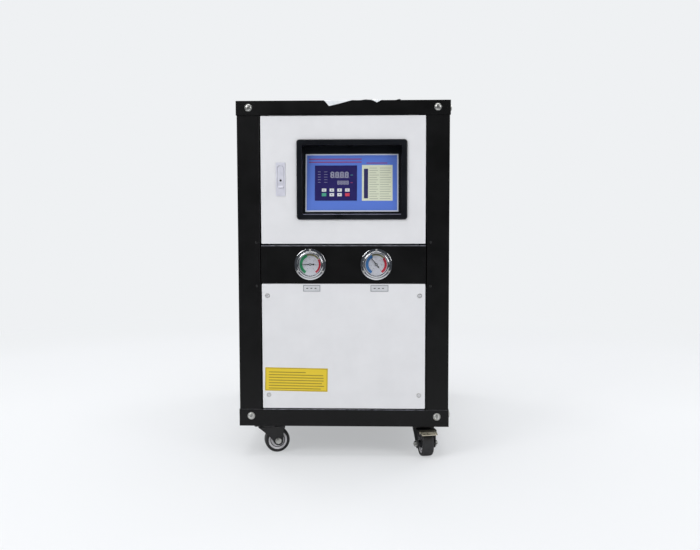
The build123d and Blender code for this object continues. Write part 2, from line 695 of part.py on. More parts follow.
def door_hinges():
    """Tabs on the right post with the pins that the door turns on."""
    tabs = []
    front = FRONT + HINGE_TAB_SET
    for edge, way in ((DOOR_BOTTOM, -1), (DOOR_TOP, 1)):
        near = edge + way * HINGE_TAB_GAP
        far = near + way * HINGE_TAB
        low, high = sorted((near, far))
        tab = block(HINGE_X - HINGE_TAB_REACH, OPENING, front, front + HINGE_TAB_DEPTH, low, high)
        tip = edge - way * (HINGE_BUSH - HINGE_PIN_SHORT)
        tab += Pos(HINGE_X, HINGE_Y, (far + tip) / 2) * Cylinder(HINGE_PIN_R, abs(far - tip))
        tabs.append(tab)
    return Compound(children=tabs)


def facia_plane(lift=0.0):
    """Plane of the control panel's face, U across and V up, raised by lift."""
    tilt = radians(FACIA_TILT)
    normal = Vector(0, -cos(tilt), sin(tilt))
    origin = Vector(FACIA_CENTRE_X, FRONT + FACIA_BOTTOM_BACK, FACIA_BOTTOM_Z) + normal * lift
    return Plane(origin, x_dir=(1, 0, 0), z_dir=normal)


def behind(lift):
    """Everything behind the control panel's plane, for trimming."""
    return extrude(facia_plane(lift) * Rectangle(WIDTH, HEIGHT), -DEPTH)


def door_bezel():
    """Moulded surround whose recess ends in a sloping floor."""
    centre = Pos(BEZEL_CENTRE_X, BEZEL_CENTRE_Z)
    face = FRONT - BEZEL_PROUD
    rim = along_y(centre * RectangleRounded(BEZEL_WIDTH, BEZEL_HEIGHT, BEZEL_RADIUS), face, BEZEL_PROUD)
    rim = fillet(rim.faces().sort_by(Axis.Y)[0].outer_wire().edges(), BEZEL_EDGE)
    inner_w = BEZEL_WIDTH - 2 * BEZEL_RIM
    inner_h = BEZEL_HEIGHT - 2 * BEZEL_RIM
    wall = 2 * BEZEL_WALL
    outside = centre * RectangleRounded(inner_w + wall, inner_h + wall, BEZEL_RADIUS)
    tray = along_y(outside, FRONT - BEZEL_PROUD / 2, BOX_DEPTH) - behind(-FACIA_SHEET - BEZEL_WALL)
    inside = centre * RectangleRounded(inner_w, inner_h, BEZEL_RADIUS - BEZEL_WALL)
    recess = along_y(inside, face - BEZEL_PROUD, BOX_DEPTH) - behind(-FACIA_SHEET)
    fit = 2 * CONTROLLER_FIT
    window = Pos(DISPLAY_U, DISPLAY_V) * Rectangle(CONTROLLER_WIDTH + fit, CONTROLLER_HEIGHT + fit)
    return rim + tray - recess - extrude(facia_plane() * window, -CONTROLLER_DEPTH)


def control_panel():
    """Facia plate with the controller's case behind it."""
    plate = Pos(0, FACIA_LENGTH / 2) * RectangleRounded(FACIA_WIDTH, FACIA_LENGTH, FACIA_CORNER)
    panel = extrude(facia_plane() * plate, -FACIA_SHEET)
    case = Pos(DISPLAY_U, DISPLAY_V) * Rectangle(CONTROLLER_WIDTH, CONTROLLER_HEIGHT)
    return panel + extrude(facia_plane() * case, -CONTROLLER_DEPTH)


def display_module():
    """Thin display plate on the facia."""
    plate = Pos(DISPLAY_U, DISPLAY_V) * Rectangle(DISPLAY_WIDTH, DISPLAY_HEIGHT)
    return extrude(facia_plane() * plate, DISPLAY_SHEET)


def keypad():
    """Two rows of keys on the display."""
    keys = []
    for v in KEY_ROWS:
        for i in range(KEYS_PER_ROW):
            cap = Pos(KEY_U + i * KEY_PITCH, v) * RectangleRounded(KEY_WIDTH, KEY_HEIGHT, KEY_RADIUS)
            keys.append(extrude(facia_plane(DISPLAY_SHEET) * cap, KEY_RISE))
    return Compound(children=keys)


# Paddle lock

def lock_outline(half, bottom, top, lower, upper):
    """Outline in X and Z with its own radius for the lower and the upper corners."""
    sheet = Pos(LOCK_X, (bottom + top) / 2) * Rectangle(2 * half, top - bottom)
    sheet = fillet(sheet.vertices().sort_by(Axis.Y)[-2:], upper)
    return fillet(sheet.vertices().sort_by(Axis.Y)[:2], lower)


def paddle_pin(radius, length):
    """Round bar on the line that the paddle turns about."""
    y = FRONT - LOCK_PROUD + PADDLE_THICK / 2
    z = POCKET_TOP - PADDLE_FIT - PADDLE_PIN_DOWN
    return Pos(LOCK_X, y, z) * Rot(0, 90, 0) * Cylinder(radius, length)


def lock_body():
    """Flanged housing with the pocket of the paddle, its pin and its tongue."""
    face = FRONT - LOCK_PROUD
    place = Pos(LOCK_X, LOCK_Z)
    flange = along_y(place * RectangleRounded(LOCK_WIDTH, LOCK_HEIGHT, LOCK_CORNER), face, LOCK_PROUD)
    inset = LOCK_STEP + 2 * LOCK_FIT
    housing = along_y(place * Rectangle(LOCK_WIDTH - inset, LOCK_HEIGHT - inset), face + LOCK_PROUD / 2,
                      LOCK_BACK + LOCK_PROUD / 2)
    lower = BUTTON_ROUND + PADDLE_FIT
    hollow = lock_outline(POCKET_WIDTH / 2, POCKET_BOTTOM, POCKET_TOP, lower, PADDLE_ARCH)
    body = flange + housing - along_y(hollow, face - LOCK_PROUD, LOCK_PROUD + POCKET_DEPTH)
    body += paddle_pin(PADDLE_PIN_R, (POCKET_WIDTH + LOCK_WIDTH - inset) / 2)
    back = FRONT + LOCK_BACK
    end = LOCK_X - LOCK_WIDTH / 2 - TONGUE_REACH
    half = TONGUE_HEIGHT / 2
    tongue = block(end, LOCK_X, back - TONGUE_THICK, back, LOCK_Z - half, LOCK_Z + half)
    return body + chamfer(tongue.edges().filter_by(Axis.Z).sort_by(Axis.X)[0:1], TONGUE_BEVEL)


def lock_paddle():
    """Arched handle that swings out about a pin near its upper end."""
    face = FRONT - LOCK_PROUD
    half = POCKET_WIDTH / 2 - PADDLE_FIT
    outline = lock_outline(half, PADDLE_BOTTOM, POCKET_TOP - PADDLE_FIT, PADDLE_FIT, PADDLE_ARCH)
    slab = along_y(outline, face, PADDLE_THICK)
    wide = half - PADDLE_LIP
    grip = block(LOCK_X - wide, LOCK_X + wide, face + PADDLE_LIP, face + 2 * PADDLE_THICK,
                 PADDLE_BOTTOM - PADDLE_FIT, PADDLE_BOTTOM + PADDLE_GRIP)
    return slab - grip - paddle_pin(PADDLE_PIN_R + RUNNING, LOCK_WIDTH)


def lock_button():
    """Button under the paddle, round at its lower end."""
    face = FRONT - LOCK_PROUD
    half = POCKET_WIDTH / 2 - PADDLE_FIT
    outline = lock_outline(half, POCKET_BOTTOM + PADDLE_FIT, BUTTON_TOP, BUTTON_ROUND, PADDLE_FIT)
    return along_y(outline, face, POCKET_DEPTH - BUTTON_TRAVEL - PADDLE_FIT)


# Gauges

def gauge_case(x):
    """Turned case with its flange, ring and stem."""
    floor = FRONT + DIAL_BACK
    front = FRONT - GAUGE_PROUD
    back = FRONT + GAUGE_BODY
    points = [
        (0, back), (GAUGE_BODY_R, back), (GAUGE_BODY_R, FRONT), (GAUGE_FLANGE_R, FRONT),
        (GAUGE_FLANGE_R, FRONT - GAUGE_FLANGE), (GAUGE_RING_R, FRONT - GAUGE_FLANGE),
        (GAUGE_RING_R, front + RING_EDGE), (GAUGE_RING_R - RING_EDGE, front),
        (GAUGE_GLASS_R, front), (GAUGE_GLASS_R, floor), (0, floor),
    ]
    case = turned(points, x, GAUGE_Z)
    stem = Rot(90, 0, 0) * Cylinder(STEM_R, STEM_LENGTH)
    return case + Pos(x, back + STEM_LENGTH / 2 - STEM_SUNK, GAUGE_Z) * stem


def gauge_discs(radius, front, thickness):
    """One disc for each gauge."""
    disc = Rot(90, 0, 0) * Cylinder(radius, thickness)
    return Compound(children=[Pos(x, front + thickness / 2, GAUGE_Z) * disc for x in GAUGE_X])


def gauge_dials():
    """Dial plates."""
    return gauge_discs(GAUGE_GLASS_R - CORE_FIT, FRONT + DIAL_BACK - DIAL, DIAL)


def gauge_glasses():
    """Glasses."""
    return gauge_discs(GAUGE_GLASS_R - CORE_FIT, FRONT - GAUGE_PROUD + GLASS_BACK, GLASS)


def gauge_needles():
    """Tapered needles with a round tail and a hub that stands on the dial."""
    needles = []
    dial_front = FRONT + DIAL_BACK - DIAL
    for x, angle in zip(GAUGE_X, NEEDLE_ANGLES):
        tip = [(NEEDLE_LENGTH, -NEEDLE_TIP), (NEEDLE_LENGTH, NEEDLE_TIP)]
        shape = make_face(Polyline((0, -NEEDLE_ROOT), *tip, (0, NEEDLE_ROOT), close=True))
        shape += Circle(NEEDLE_HUB_R)
        shape += Pos(-NEEDLE_TAIL / 2, 0) * Rectangle(NEEDLE_TAIL, NEEDLE_TAIL_WIDTH)
        shape += Pos(-NEEDLE_TAIL, 0) * Circle(NEEDLE_BULB_R)
        blade = extrude(Plane.XZ * shape, NEEDLE_THICK, dir=(0, 1, 0))
        needle = Rot(0, -angle, 0) * (blade + rod_y(NEEDLE_BULB_R, 0, NEEDLE_LIFT))
        needles.append(Pos(x, dial_front - NEEDLE_LIFT, GAUGE_Z) * needle)
    return Compound(children=needles)


# Casters. Each is drawn with its swivel axis on Z and its wheel trailing along +X.

def caster_place(x, y, heading):
    """Turns the trail from +X to the heading, counted from -Y towards +X, and moves it to its corner."""
    return Pos(x, y, 0) * Rot(0, 0, heading - 90)


def caster_plate():
    """Plate under the base with the upper race and the kingpin."""
    top = CASTER_HEIGHT
    under = top - PLATE_THICK
    plate = Pos(0, 0, top - PLATE_THICK / 2) * Box(PLATE_X, PLATE_Y, PLATE_THICK)
    plate = fillet(plate.edges().filter_by(Axis.Z), PLATE_CORNER)
    race_bottom = FORK_TOP + RACE_HEIGHT + RACE_GAP
    plate += Pos(0, 0, (under + race_bottom) / 2) * Cylinder(RACE_R, under - race_bottom)
    head_top = FORK_TOP - FORK_SHEET - RACE_GAP
    plate += Pos(0, 0, (under + head_top) / 2) * Cylinder(KINGPIN_R, under - head_top)
    return plate + Pos(0, 0, head_top - KINGPIN_HEAD / 2) * Cylinder(KINGPIN_HEAD_R, KINGPIN_HEAD)


def leg_outline(braked):
    """Side of the fork, X along the trail and Y up."""
    x, z = TRAIL + LEG_FOOT_BACK, WHEEL_R
    start, middle = [(x - LEG_FOOT * cos(radians(a)), z - LEG_FOOT * sin(radians(a))) for a in (35, 100)]
    end = (x + LEG_FOOT, z)
    rear = FORK_REAR_BRAKED if braked else FORK_REAR
    edge = Polyline(
        end, (TRAIL + LEG_SPINE, FORK_TOP - LEG_FLARE), (rear, FORK_TOP - LEG_HEM), (rear, FORK_TOP),
        (-FORK_FRONT, FORK_TOP), (-FORK_FRONT + LEG_FRONT_STEP, FORK_TOP - LEG_FRONT_HEM),
        (TRAIL - LEG_ELBOW_X, WHEEL_R + LEG_ELBOW_Z), (TRAIL - LEG_KNEE_X, WHEEL_R + LEG_KNEE_Z), start)
    return make_face([ThreePointArc(start, middle, end).edge(), *edge.edges()])


def caster_fork(braked):
    """Pressed fork with its lower race, axle bolt and, where braked, the pedal's pin."""
    half = FORK_WIDTH / 2
    leg = extrude(Plane.XZ * leg_outline(braked), FORK_SHEET, dir=(0, 1, 0))
    crown_end = CROWN_REAR_BRAKED if braked else FORK_REAR
    crown = block(-FORK_FRONT, crown_end, -half, half, FORK_TOP - FORK_SHEET, FORK_TOP)
    fork = crown + Pos(0, -half, 0) * leg + Pos(0, half - FORK_SHEET, 0) * leg
    fork += Pos(0, 0, FORK_TOP + RACE_HEIGHT / 2) * Cylinder(RACE_R + RACE_LIP, RACE_HEIGHT)
    fork -= Pos(0, 0, FORK_TOP) * Cylinder(KINGPIN_R + RUNNING, 4 * RACE_HEIGHT)
    fork += Pos(TRAIL, 0, WHEEL_R) * rod_y(AXLE_R, -half, half)
    for way in (-1, 1):
        fork += Pos(TRAIL, way * half, WHEEL_R) * hexagon_y(AXLE_HEX, AXLE_NUT, way)
    if braked:
        fork += Pos(PEDAL_PIN_T, 0, PEDAL_PIN_Z) * rod_y(PEDAL_PIN_R, -half, half)
    return fork


def wheel_turned(points):
    """A wheel section given as radius and place across, turned about the axle."""
    section = make_face(Polyline(*points, close=True))
    return Pos(TRAIL, 0, WHEEL_R) * revolve(section, Axis.Y)


def wheel_core():
    """Moulded core with its boss, dished faces and rim."""
    rim = WHEEL_R - TYRE_THICK
    half = CORE_WIDTH / 2
    boss = FORK_WIDTH / 2 - FORK_SHEET - FORK_GAP
    bore = AXLE_R + RUNNING
    dish = half - CORE_DISH
    ring = rim - CORE_RIM
    one = [(bore, boss), (BOSS_R, boss), (BOSS_R, dish), (ring, dish), (ring, half), (rim, half)]
    other = [(r, -y) for r, y in reversed(one)]
    return wheel_turned(one + other)


def wheel_tyre():
    """Tyre with bevelled shoulders."""
    inner = WHEEL_R - TYRE_THICK + CORE_FIT
    half = TYRE_WIDTH / 2
    points = [(inner, half), (WHEEL_R - TYRE_CROWN, half), (WHEEL_R, half - TYRE_SHOULDER)]
    other = [(r, -y) for r, y in reversed(points)]
    return wheel_turned(points + other)


def brake_pedal():
    """Stamped pedal on its pin, with the lobe that presses on the tyre."""
    pin = (PEDAL_PIN_T, PEDAL_PIN_Z)
    toward = degrees(atan2(WHEEL_R - pin[1], TRAIL - pin[0])) + PEDAL_STROKE
    top = FORK_TOP - PEDAL_SET
    ends = [(pin[0] - PEDAL_FRONT, top), (pin[0] + PEDAL_FLAT, top), (PEDAL_REACH, PEDAL_TIP_Z)]
    path = FilletPolyline(*ends, radius=PEDAL_BEND)
    arm = make_face(offset(path, amount=PEDAL_SHEET, side=Side.RIGHT).edges())
    lobe = Rot(0, 0, toward) * Pos(PEDAL_LOBE / 2, 0) * Rectangle(PEDAL_LOBE, PEDAL_LOBE_WIDTH)
    outline = arm + Pos(*pin) * (Circle(PEDAL_KNUCKLE_R) + lobe) - Pos(*pin) * Circle(PEDAL_PIN_R + RUNNING)
    return extrude(Plane.XZ * outline, PEDAL_WIDTH / 2, both=True)


CASTERS = {
    "front_left": (-SWIVEL_X, FRONT + SWIVEL_BACK, 105.0, False),
    "front_right": (SWIVEL_X, FRONT + SWIVEL_BACK, 12.0, True),
    "rear_left": (-SWIVEL_X, REAR - SWIVEL_BACK, 192.0, True),
    "rear_right": (SWIVEL_X, REAR - SWIVEL_BACK, 285.0, False),
}


def write_all():
    """Builds and writes every piece."""
    write("base_frame", base_frame())
    post = corner_post()
    right = mirror(post, Plane.YZ)
    write("post_front_left", post)
    write("post_front_right", right)
    write("post_rear_left", mirror(post, Plane.XZ))
    write("post_rear_right", mirror(right, Plane.XZ))
    write("top_cover", top_cover())
    write("mid_band", mid_band())
    write("lower_front_panel", lower_front_panel())
    side = side_panel()
    write("side_panel_left", side)
    write("side_panel_right", Rot(0, 0, 180) * side)
    write("rear_panel", rear_panel())
    write("water_inlet", port(PORT_X, INLET_Z, PORT_BORE_R))
    write("water_outlet", port(PORT_X, OUTLET_Z, PORT_BORE_R))
    write("drain_port", port(PORT_X, DRAIN_Z, DRAIN_BORE_R))
    write("cable_gland", cable_gland())
    write("control_box", control_box())
    write("control_gear", control_gear())
    write("inner_deck", inner_deck())
    write("condenser_coils", condenser_coils())
    write("fan_ring", fan_ring())
    write("fan_guard", fan_guard())
    write("fan_rotor", fan_rotor())
    write("fan_motor", fan_motor())
    write("door_hinges", door_hinges())
    write("door_panel", door_panel())
    write("door_bezel", door_bezel())
    write("control_panel", control_panel())
    write("display_module", display_module())
    write("keypad", keypad())
    write("lock_body", lock_body())
    write("lock_paddle", lock_paddle())
    write("lock_button", lock_button())
    write("gauge_case_left", gauge_case(GAUGE_X[0]))
    write("gauge_case_right", gauge_case(GAUGE_X[1]))
    write("gauge_dials", gauge_dials())
    write("gauge_needles", gauge_needles())
    write("gauge_glasses", gauge_glasses())
    plates = []
    for name, (x, y, heading, braked) in CASTERS.items():
        place = caster_place(x, y, heading)
        plates.append(Pos(x, y, 0) * caster_plate())
        write(f"caster_fork_{name}", place * caster_fork(braked))
        write(f"wheel_core_{name}", place * wheel_core())
        write(f"wheel_tyre_{name}", place * wheel_tyre())
        if braked:
            write(f"brake_pedal_{name}", place * brake_pedal())
    write("caster_plates", Compound(children=plates))


os.makedirs("parts", exist_ok=True)
write_all()
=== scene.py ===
# %% [markdown]
# # A water chiller on casters
#
# The CAD model already holds every panel, post, hinge and wheel at its real size and place.
# This file dresses it: it gives each surface its finish, and adds the screws, dials, prints and
# wires that are too fine for the CAD model. It works in the CAD model's own frame, where X runs
# to the right, Y to the back and Z up. The floor is Z = 0.

# %% Start
import json
import math

import bmesh
import bpy
from mathutils import Matrix, Vector


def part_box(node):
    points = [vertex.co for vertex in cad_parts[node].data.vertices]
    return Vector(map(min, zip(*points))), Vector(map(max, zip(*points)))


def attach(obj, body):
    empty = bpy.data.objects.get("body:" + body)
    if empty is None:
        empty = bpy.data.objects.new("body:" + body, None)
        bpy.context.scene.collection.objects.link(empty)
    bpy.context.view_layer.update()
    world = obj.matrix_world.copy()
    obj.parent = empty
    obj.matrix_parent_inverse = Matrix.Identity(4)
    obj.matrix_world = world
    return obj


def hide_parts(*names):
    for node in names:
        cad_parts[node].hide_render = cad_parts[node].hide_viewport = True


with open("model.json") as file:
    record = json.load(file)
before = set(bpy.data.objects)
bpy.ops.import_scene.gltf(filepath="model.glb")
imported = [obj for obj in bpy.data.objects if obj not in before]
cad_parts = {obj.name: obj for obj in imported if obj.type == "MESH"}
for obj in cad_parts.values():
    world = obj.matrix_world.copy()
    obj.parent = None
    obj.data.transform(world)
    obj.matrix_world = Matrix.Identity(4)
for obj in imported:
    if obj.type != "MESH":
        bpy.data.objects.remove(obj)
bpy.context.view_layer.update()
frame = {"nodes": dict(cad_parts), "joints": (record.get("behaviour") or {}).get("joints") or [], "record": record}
MM = 0.001

# %% [markdown]
# ## Measures from the CAD model
#
# New pieces have to sit on the CAD model's panels, so their places are worked out from it: the
# box round a CAD node gives where it starts, ends and has its middle. Sizes of pieces are in
# millimetres, and are multiplied by MM where they reach Blender, which counts in metres. The
# camera, the lamps and the floor are in metres.

# %% Measures
X, Y, Z = 0, 1, 2


def span(name, axis):
    """Where a CAD node starts and ends along an axis."""
    return [round(corner[axis] / MM, 2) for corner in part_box(name)]


def middle(name, axis):
    """Where a CAD node has its middle along an axis."""
    return sum(span(name, axis)) / 2


FRONT, REAR = span("post_front_left", Y)[0], span("post_rear_left", Y)[1]
SIDE = span("post_front_right", X)[1]
print("the posts reach from", FRONT, "to", REAR, "and", SIDE, "to each side")

# %% [markdown]
# ## The camera
#
# The photograph was taken from the height of the control panel, nearly straight on and a little
# to the right. A camera's matrix has its right, its up and its backward direction as columns, so
# the three angles are turned into those directions here. That keeps the small roll, which aiming
# the camera at a point would lose.

# %% Camera
CAMERA_PLACE = Vector((0.110, -2.961, 0.703))
YAW, PITCH, ROLL = (math.radians(a) for a in (-2.104, 4.806, -0.133))
forward = Vector((math.sin(YAW) * math.cos(PITCH), math.cos(YAW) * math.cos(PITCH), -math.sin(PITCH)))
level = Vector((math.cos(YAW), -math.sin(YAW), 0))
upright = level.cross(forward)
right = math.cos(ROLL) * level + math.sin(ROLL) * upright
up = -math.sin(ROLL) * level + math.cos(ROLL) * upright
lens = bpy.data.cameras.new("camera")
lens.lens = 48.857
lens.sensor_width = 36.0
camera = bpy.data.objects.new("camera", lens)
bpy.context.collection.objects.link(camera)
camera.matrix_world = Matrix((
    (right.x, up.x, -forward.x, CAMERA_PLACE.x),
    (right.y, up.y, -forward.y, CAMERA_PLACE.y),
    (right.z, up.z, -forward.z, CAMERA_PLACE.z),
    (0, 0, 0, 1)))
bpy.context.scene.camera = camera
bpy.context.scene.view_settings.view_transform = "Standard"
print("camera looks along", tuple(round(v, 3) for v in forward))

# %% [markdown]
# ## Helpers for finishes
#
# Colours are read off as sRGB hex codes, the way a paint chip or a screen gives them. Shaders
# count light, so each code is turned into linear values once, here. A shader is a small graph,
# and one function adds a node to it: it sets the node's settings, gives values to sockets, and
# joins sockets to what came before. A Mix node repeats its sockets for each kind of data, so its
# two colours go by number, 6 and 7, and the mixed colour is output 2.

# %% Colour and node helpers
def linear(code):
    """Linear RGBA of an sRGB hex code."""
    parts = [int(code[i:i + 2], 16) / 255 for i in (1, 3, 5)]
    return tuple(c / 12.92 if c <= 0.04045 else ((c + 0.055) / 1.055) ** 2.4 for c in parts) + (1.0,)


def add(tree, kind, links=None, values=None, **settings):
    """Adds a shader node. links joins its sockets to outputs, values fills them."""
    node = tree.nodes.new("ShaderNode" + kind)
    for name, value in settings.items():
        setattr(node, name, value)
    for socket, value in (values or {}).items():
        node.inputs[socket].default_value = value
    for socket, source in (links or {}).items():
        tree.links.new(source, node.inputs[socket])
    return node


def new_finish(name, colour, **values):
    """A material with one Principled shader. Returns it with its tree and the shader."""
    finish = bpy.data.materials.new(name)
    finish.use_nodes = True
    tree = finish.node_tree
    shader = tree.nodes["Principled BSDF"]
    shader.inputs["Base Color"].default_value = linear(colour)
    for socket, value in values.items():
        shader.inputs[socket.replace("_", " ")].default_value = value
    return finish, tree, shader


print("white paint #dfdfe1 is", tuple(round(v, 3) for v in linear("#dfdfe1")))

# %% [markdown]
# ## A bump and a blend that most finishes share
#
# Most of these surfaces are one colour that varies a little, over a fine relief. The relief is
# a noise whose scale is one over the grain's size in metres. The blend moves the colour and the
# roughness between two near values over a few centimetres, the way handling and uneven spray
# do. Object coordinates are in metres and swing along with a part on its hinge.

# %% Shared relief and blend
def surface(tree, shader, grain_mm, depth_mm, edge_mm=0.0):
    """Fine relief of a given grain and depth, over edges softened by edge_mm."""
    where = add(tree, "TexCoord").outputs["Object"]
    noise = add(tree, "TexNoise", {"Vector": where},
                {"Scale": 1 / (grain_mm * MM), "Detail": 3.0, "Roughness": 0.6})
    bump = add(tree, "Bump", {"Height": noise.outputs["Fac"]}, {"Strength": 1.0, "Distance": depth_mm * MM})
    if edge_mm:
        soft = add(tree, "Bevel", values={"Radius": edge_mm * MM}, samples=4)
        tree.links.new(soft.outputs["Normal"], bump.inputs["Normal"])
    tree.links.new(bump.outputs["Normal"], shader.inputs["Normal"])
    return where


def cloud(tree, shader, where, size_mm, roughness):
    """Lets the roughness drift between two values over patches of size_mm, and returns the noise."""
    noise = add(tree, "TexNoise", {"Vector": where},
                {"Scale": 1 / (size_mm * MM), "Detail": 4.0, "Roughness": 0.55})
    rough = add(tree, "MapRange", {"Value": noise.outputs["Fac"]},
                {"From Min": 0.3, "From Max": 0.7, "To Min": roughness[0], "To Max": roughness[1]})
    tree.links.new(rough.outputs["Result"], shader.inputs["Roughness"])
    return noise.outputs["Fac"]


def blend(tree, shader, where, size_mm, colours, roughness):
    """Lets colour and roughness drift together between two values."""
    noise = cloud(tree, shader, where, size_mm, roughness)
    spread = add(tree, "MapRange", {"Value": noise}, {"From Min": 0.3, "From Max": 0.7})
    mix = add(tree, "Mix", {"Factor": spread.outputs["Result"]},
              {6: linear(colours[0]), 7: linear(colours[1])}, data_type="RGBA")
    tree.links.new(mix.outputs[2], shader.inputs["Base Color"])


def coated(name, colours, roughness, grain_mm, depth_mm, edge_mm=0.0, patch_mm=60, **values):
    """A finish made of the shared relief and blend alone."""
    finish, tree, shader = new_finish(name, colours[0], **values)
    where = surface(tree, shader, grain_mm, depth_mm, edge_mm)
    blend(tree, shader, where, patch_mm, colours, roughness)
    return finish


print("a grain of 0.8 mm is a noise scale of", 1 / (0.8 * MM))

# %% [markdown]
# ## Powder coat, black and white
#
# The posts, cover, base and gauge band are steel with a black polyester powder coat, baked on.
# Powder flows out into a fine orange peel about a millimetre across, so the gloss breaks up
# without the surface looking rough. The white panels have the same coat in a cool white. Folded
# edges of sheet steel are round, and a Bevel node gives the shading of that rounding without
# touching the CAD mesh.

# %% Powder coats
black_coat = coated("black polyester powder coat", ("#070707", "#0c0c0d"), (0.36, 0.46), 1.1, 0.035, 0.8,
                    Specular_IOR_Level=0.26)
white_coat = coated("white polyester powder coat", ("#dfdfe1", "#e4e4e6"), (0.36, 0.44), 1.1, 0.03, 0.8,
                    IOR=1.48)
print(black_coat.name, "and", white_coat.name)

# %% [markdown]
# ## Hot-dip galvanised sheet
#
# The control box, the deck and the fan's inlet ring are galvanised. Molten zinc freezes in flat
# crystals, the spangle, each 5 to 15 mm across and each reflecting a little differently. A
# Voronoi texture has such cells, and its cell colour gives each one its own tone and roughness.

# %% Galvanised sheet
def spangled(name, colours, spangle_mm):
    """Zinc whose crystals differ in tone and roughness."""
    finish, tree, shader = new_finish(name, colours[0], Metallic=1.0)
    where = surface(tree, shader, 0.9, 0.01, 0.6)
    cells = add(tree, "TexVoronoi", {"Vector": where}, {"Scale": 1 / (spangle_mm * MM)})
    tone = add(tree, "SeparateColor", {"Color": cells.outputs["Color"]}).outputs["Red"]
    mix = add(tree, "Mix", {"Factor": tone}, {6: linear(colours[0]), 7: linear(colours[1])},
              data_type="RGBA")
    rough = add(tree, "MapRange", {"Value": tone}, {"To Min": 0.32, "To Max": 0.5})
    tree.links.new(mix.outputs[2], shader.inputs["Base Color"])
    tree.links.new(rough.outputs["Result"], shader.inputs["Roughness"])
    return finish


galvanised = spangled("hot-dip galvanised steel", ("#a9adb0", "#c3c7ca"), 9)
print(galvanised.name)

# %% [markdown]
# ## Moulded plastics and rubber
#
# Moulded parts copy the mould's surface: the door's surround has a fine spark-eroded grain, the
# fan is glass-filled polyamide with a cloudy skin, and the tyres are thermoplastic rubber, dull
# and a little dusty. They differ in grain, depth and roughness more than in colour.

# %% Plastics
surround_plastic = coated("black ABS, spark-eroded grain", ("#0c0e13", "#12151b"), (0.26, 0.36), 0.9, 0.02,
                          0.8, IOR=1.45)
fan_plastic = coated("glass-filled polyamide, moulded", ("#1a1b1d", "#26282b"), (0.45, 0.6), 2.0, 0.02, 0.5)
gland_plastic = coated("black polyamide, moulded", ("#17181a", "#1f2022"), (0.35, 0.45), 1.5, 0.02, 0.3)
core_plastic = coated("dark polypropylene, moulded", ("#1d1e20", "#2a2b2e"), (0.35, 0.5), 1.2, 0.02, 0.3)
tyre_rubber = coated("thermoplastic rubber, moulded", ("#18181a", "#2a2a2b"), (0.55, 0.7), 1.0, 0.04, 0.4, 14)
seal_rubber = coated("foamed EPDM strip", ("#131314", "#1c1c1d"), (0.8, 0.9), 0.8, 0.08)
gear_plastic = coated("grey polycarbonate, moulded", ("#2c2e32", "#35383d"), (0.4, 0.5), 1.4, 0.02, 0.4)
print("seven moulded finishes, from", surround_plastic.name, "to", gear_plastic.name)

# %% [markdown]
# ## Bare and plated metals
#
# Chrome keeps its tint of blue and a near mirror. Zinc plate on bolts is milky and a little
# yellow. The lock is die-cast zinc with a satin chrome skin, the water sockets are turned brass
# with faint tool marks, and the coil's fins are thin aluminium. Bare metals are fully metallic,
# so their colour is the colour of their reflection. Satin chrome scatters light nearly as paint
# does, so it is only a little metallic, and enamel isn't at all.

# %% Metals
chrome = coated("polished chrome plate", ("#d9dbde", "#e3e4e6"), (0.05, 0.11), 6.0, 0.01, 0.15, 30,
                Metallic=1.0)
zinc_plate = coated("bright zinc plate", ("#bfbfba", "#d2d2cf"), (0.32, 0.46), 1.5, 0.01, 0.1, 6,
                    Metallic=1.0)
yellow_zinc = coated("yellow passivated zinc plate", ("#c8c1ab", "#d8d2bf"), (0.25, 0.4), 1.5, 0.01, 0.3, 12,
                     Metallic=1.0)
satin_chrome = coated("die-cast zinc, satin chrome", ("#dcdce8", "#e6e6f0"), (0.3, 0.4), 1.0, 0.015, 0.7, 12,
                      Metallic=0.2)
aluminium = coated("aluminium fin stock", ("#b9bdc1", "#cdd0d3"), (0.3, 0.42), 2.0, 0.01, 0.0, 30,
                   Metallic=1.0)
copper = coated("drawn copper tube", ("#b06d4c", "#c68463"), (0.25, 0.4), 2.0, 0.01, 0.0, 20, Metallic=1.0)
black_steel = coated("pressed steel, black enamel", ("#0a0a0b", "#121213"), (0.3, 0.42), 1.6, 0.03, 0.5, 20)
motor_enamel = coated("cast aluminium, satin black enamel", ("#151516", "#1d1d1f"), (0.4, 0.5), 1.2, 0.05,
                      0.5)


def turned_metal(name, colours, mark_mm):
    """Metal with the fine rings that a lathe tool leaves around Y."""
    finish, tree, shader = new_finish(name, colours[0], Metallic=1.0)
    where = add(tree, "TexCoord").outputs["Object"]
    marks = add(tree, "TexWave", {"Vector": where}, {"Scale": 0.5 / (mark_mm * MM), "Distortion": 0.6},
                bands_direction="Y")
    soft = add(tree, "Bevel", values={"Radius": 0.4 * MM}, samples=4)
    bump = add(tree, "Bump", {"Height": marks.outputs["Fac"], "Normal": soft.outputs["Normal"]},
               {"Distance": 0.01 * MM})
    tree.links.new(bump.outputs["Normal"], shader.inputs["Normal"])
    blend(tree, shader, where, 15, colours, (0.22, 0.36))
    return finish


brass = turned_metal("turned brass", ("#c79a55", "#d8b06c"), 0.8)
print(chrome.name, zinc_plate.name, brass.name)

# %% [markdown]
# ## Prints, film and glass
#
# The control panel is a polyester film printed from behind, so it is smooth, slightly glossy
# and very even. Its CAD node also has the black case behind the film, and the distance along the
# panel's own normal tells the two apart. The display window is tinted acrylic, and the dials are
# printed aluminium. Glass over a dial would throw a black shadow in a renderer that follows few
# light paths, so light that only shades is let straight through.

# %% Prints and glass
def printed(name, colour, roughness=0.32):
    """Printing ink: one even colour, with a gloss that clouds a little."""
    finish, tree, shader = new_finish(name, colour)
    where = surface(tree, shader, 1.2, 0.004)
    cloud(tree, shader, where, 25, (roughness, roughness + 0.08))
    return finish


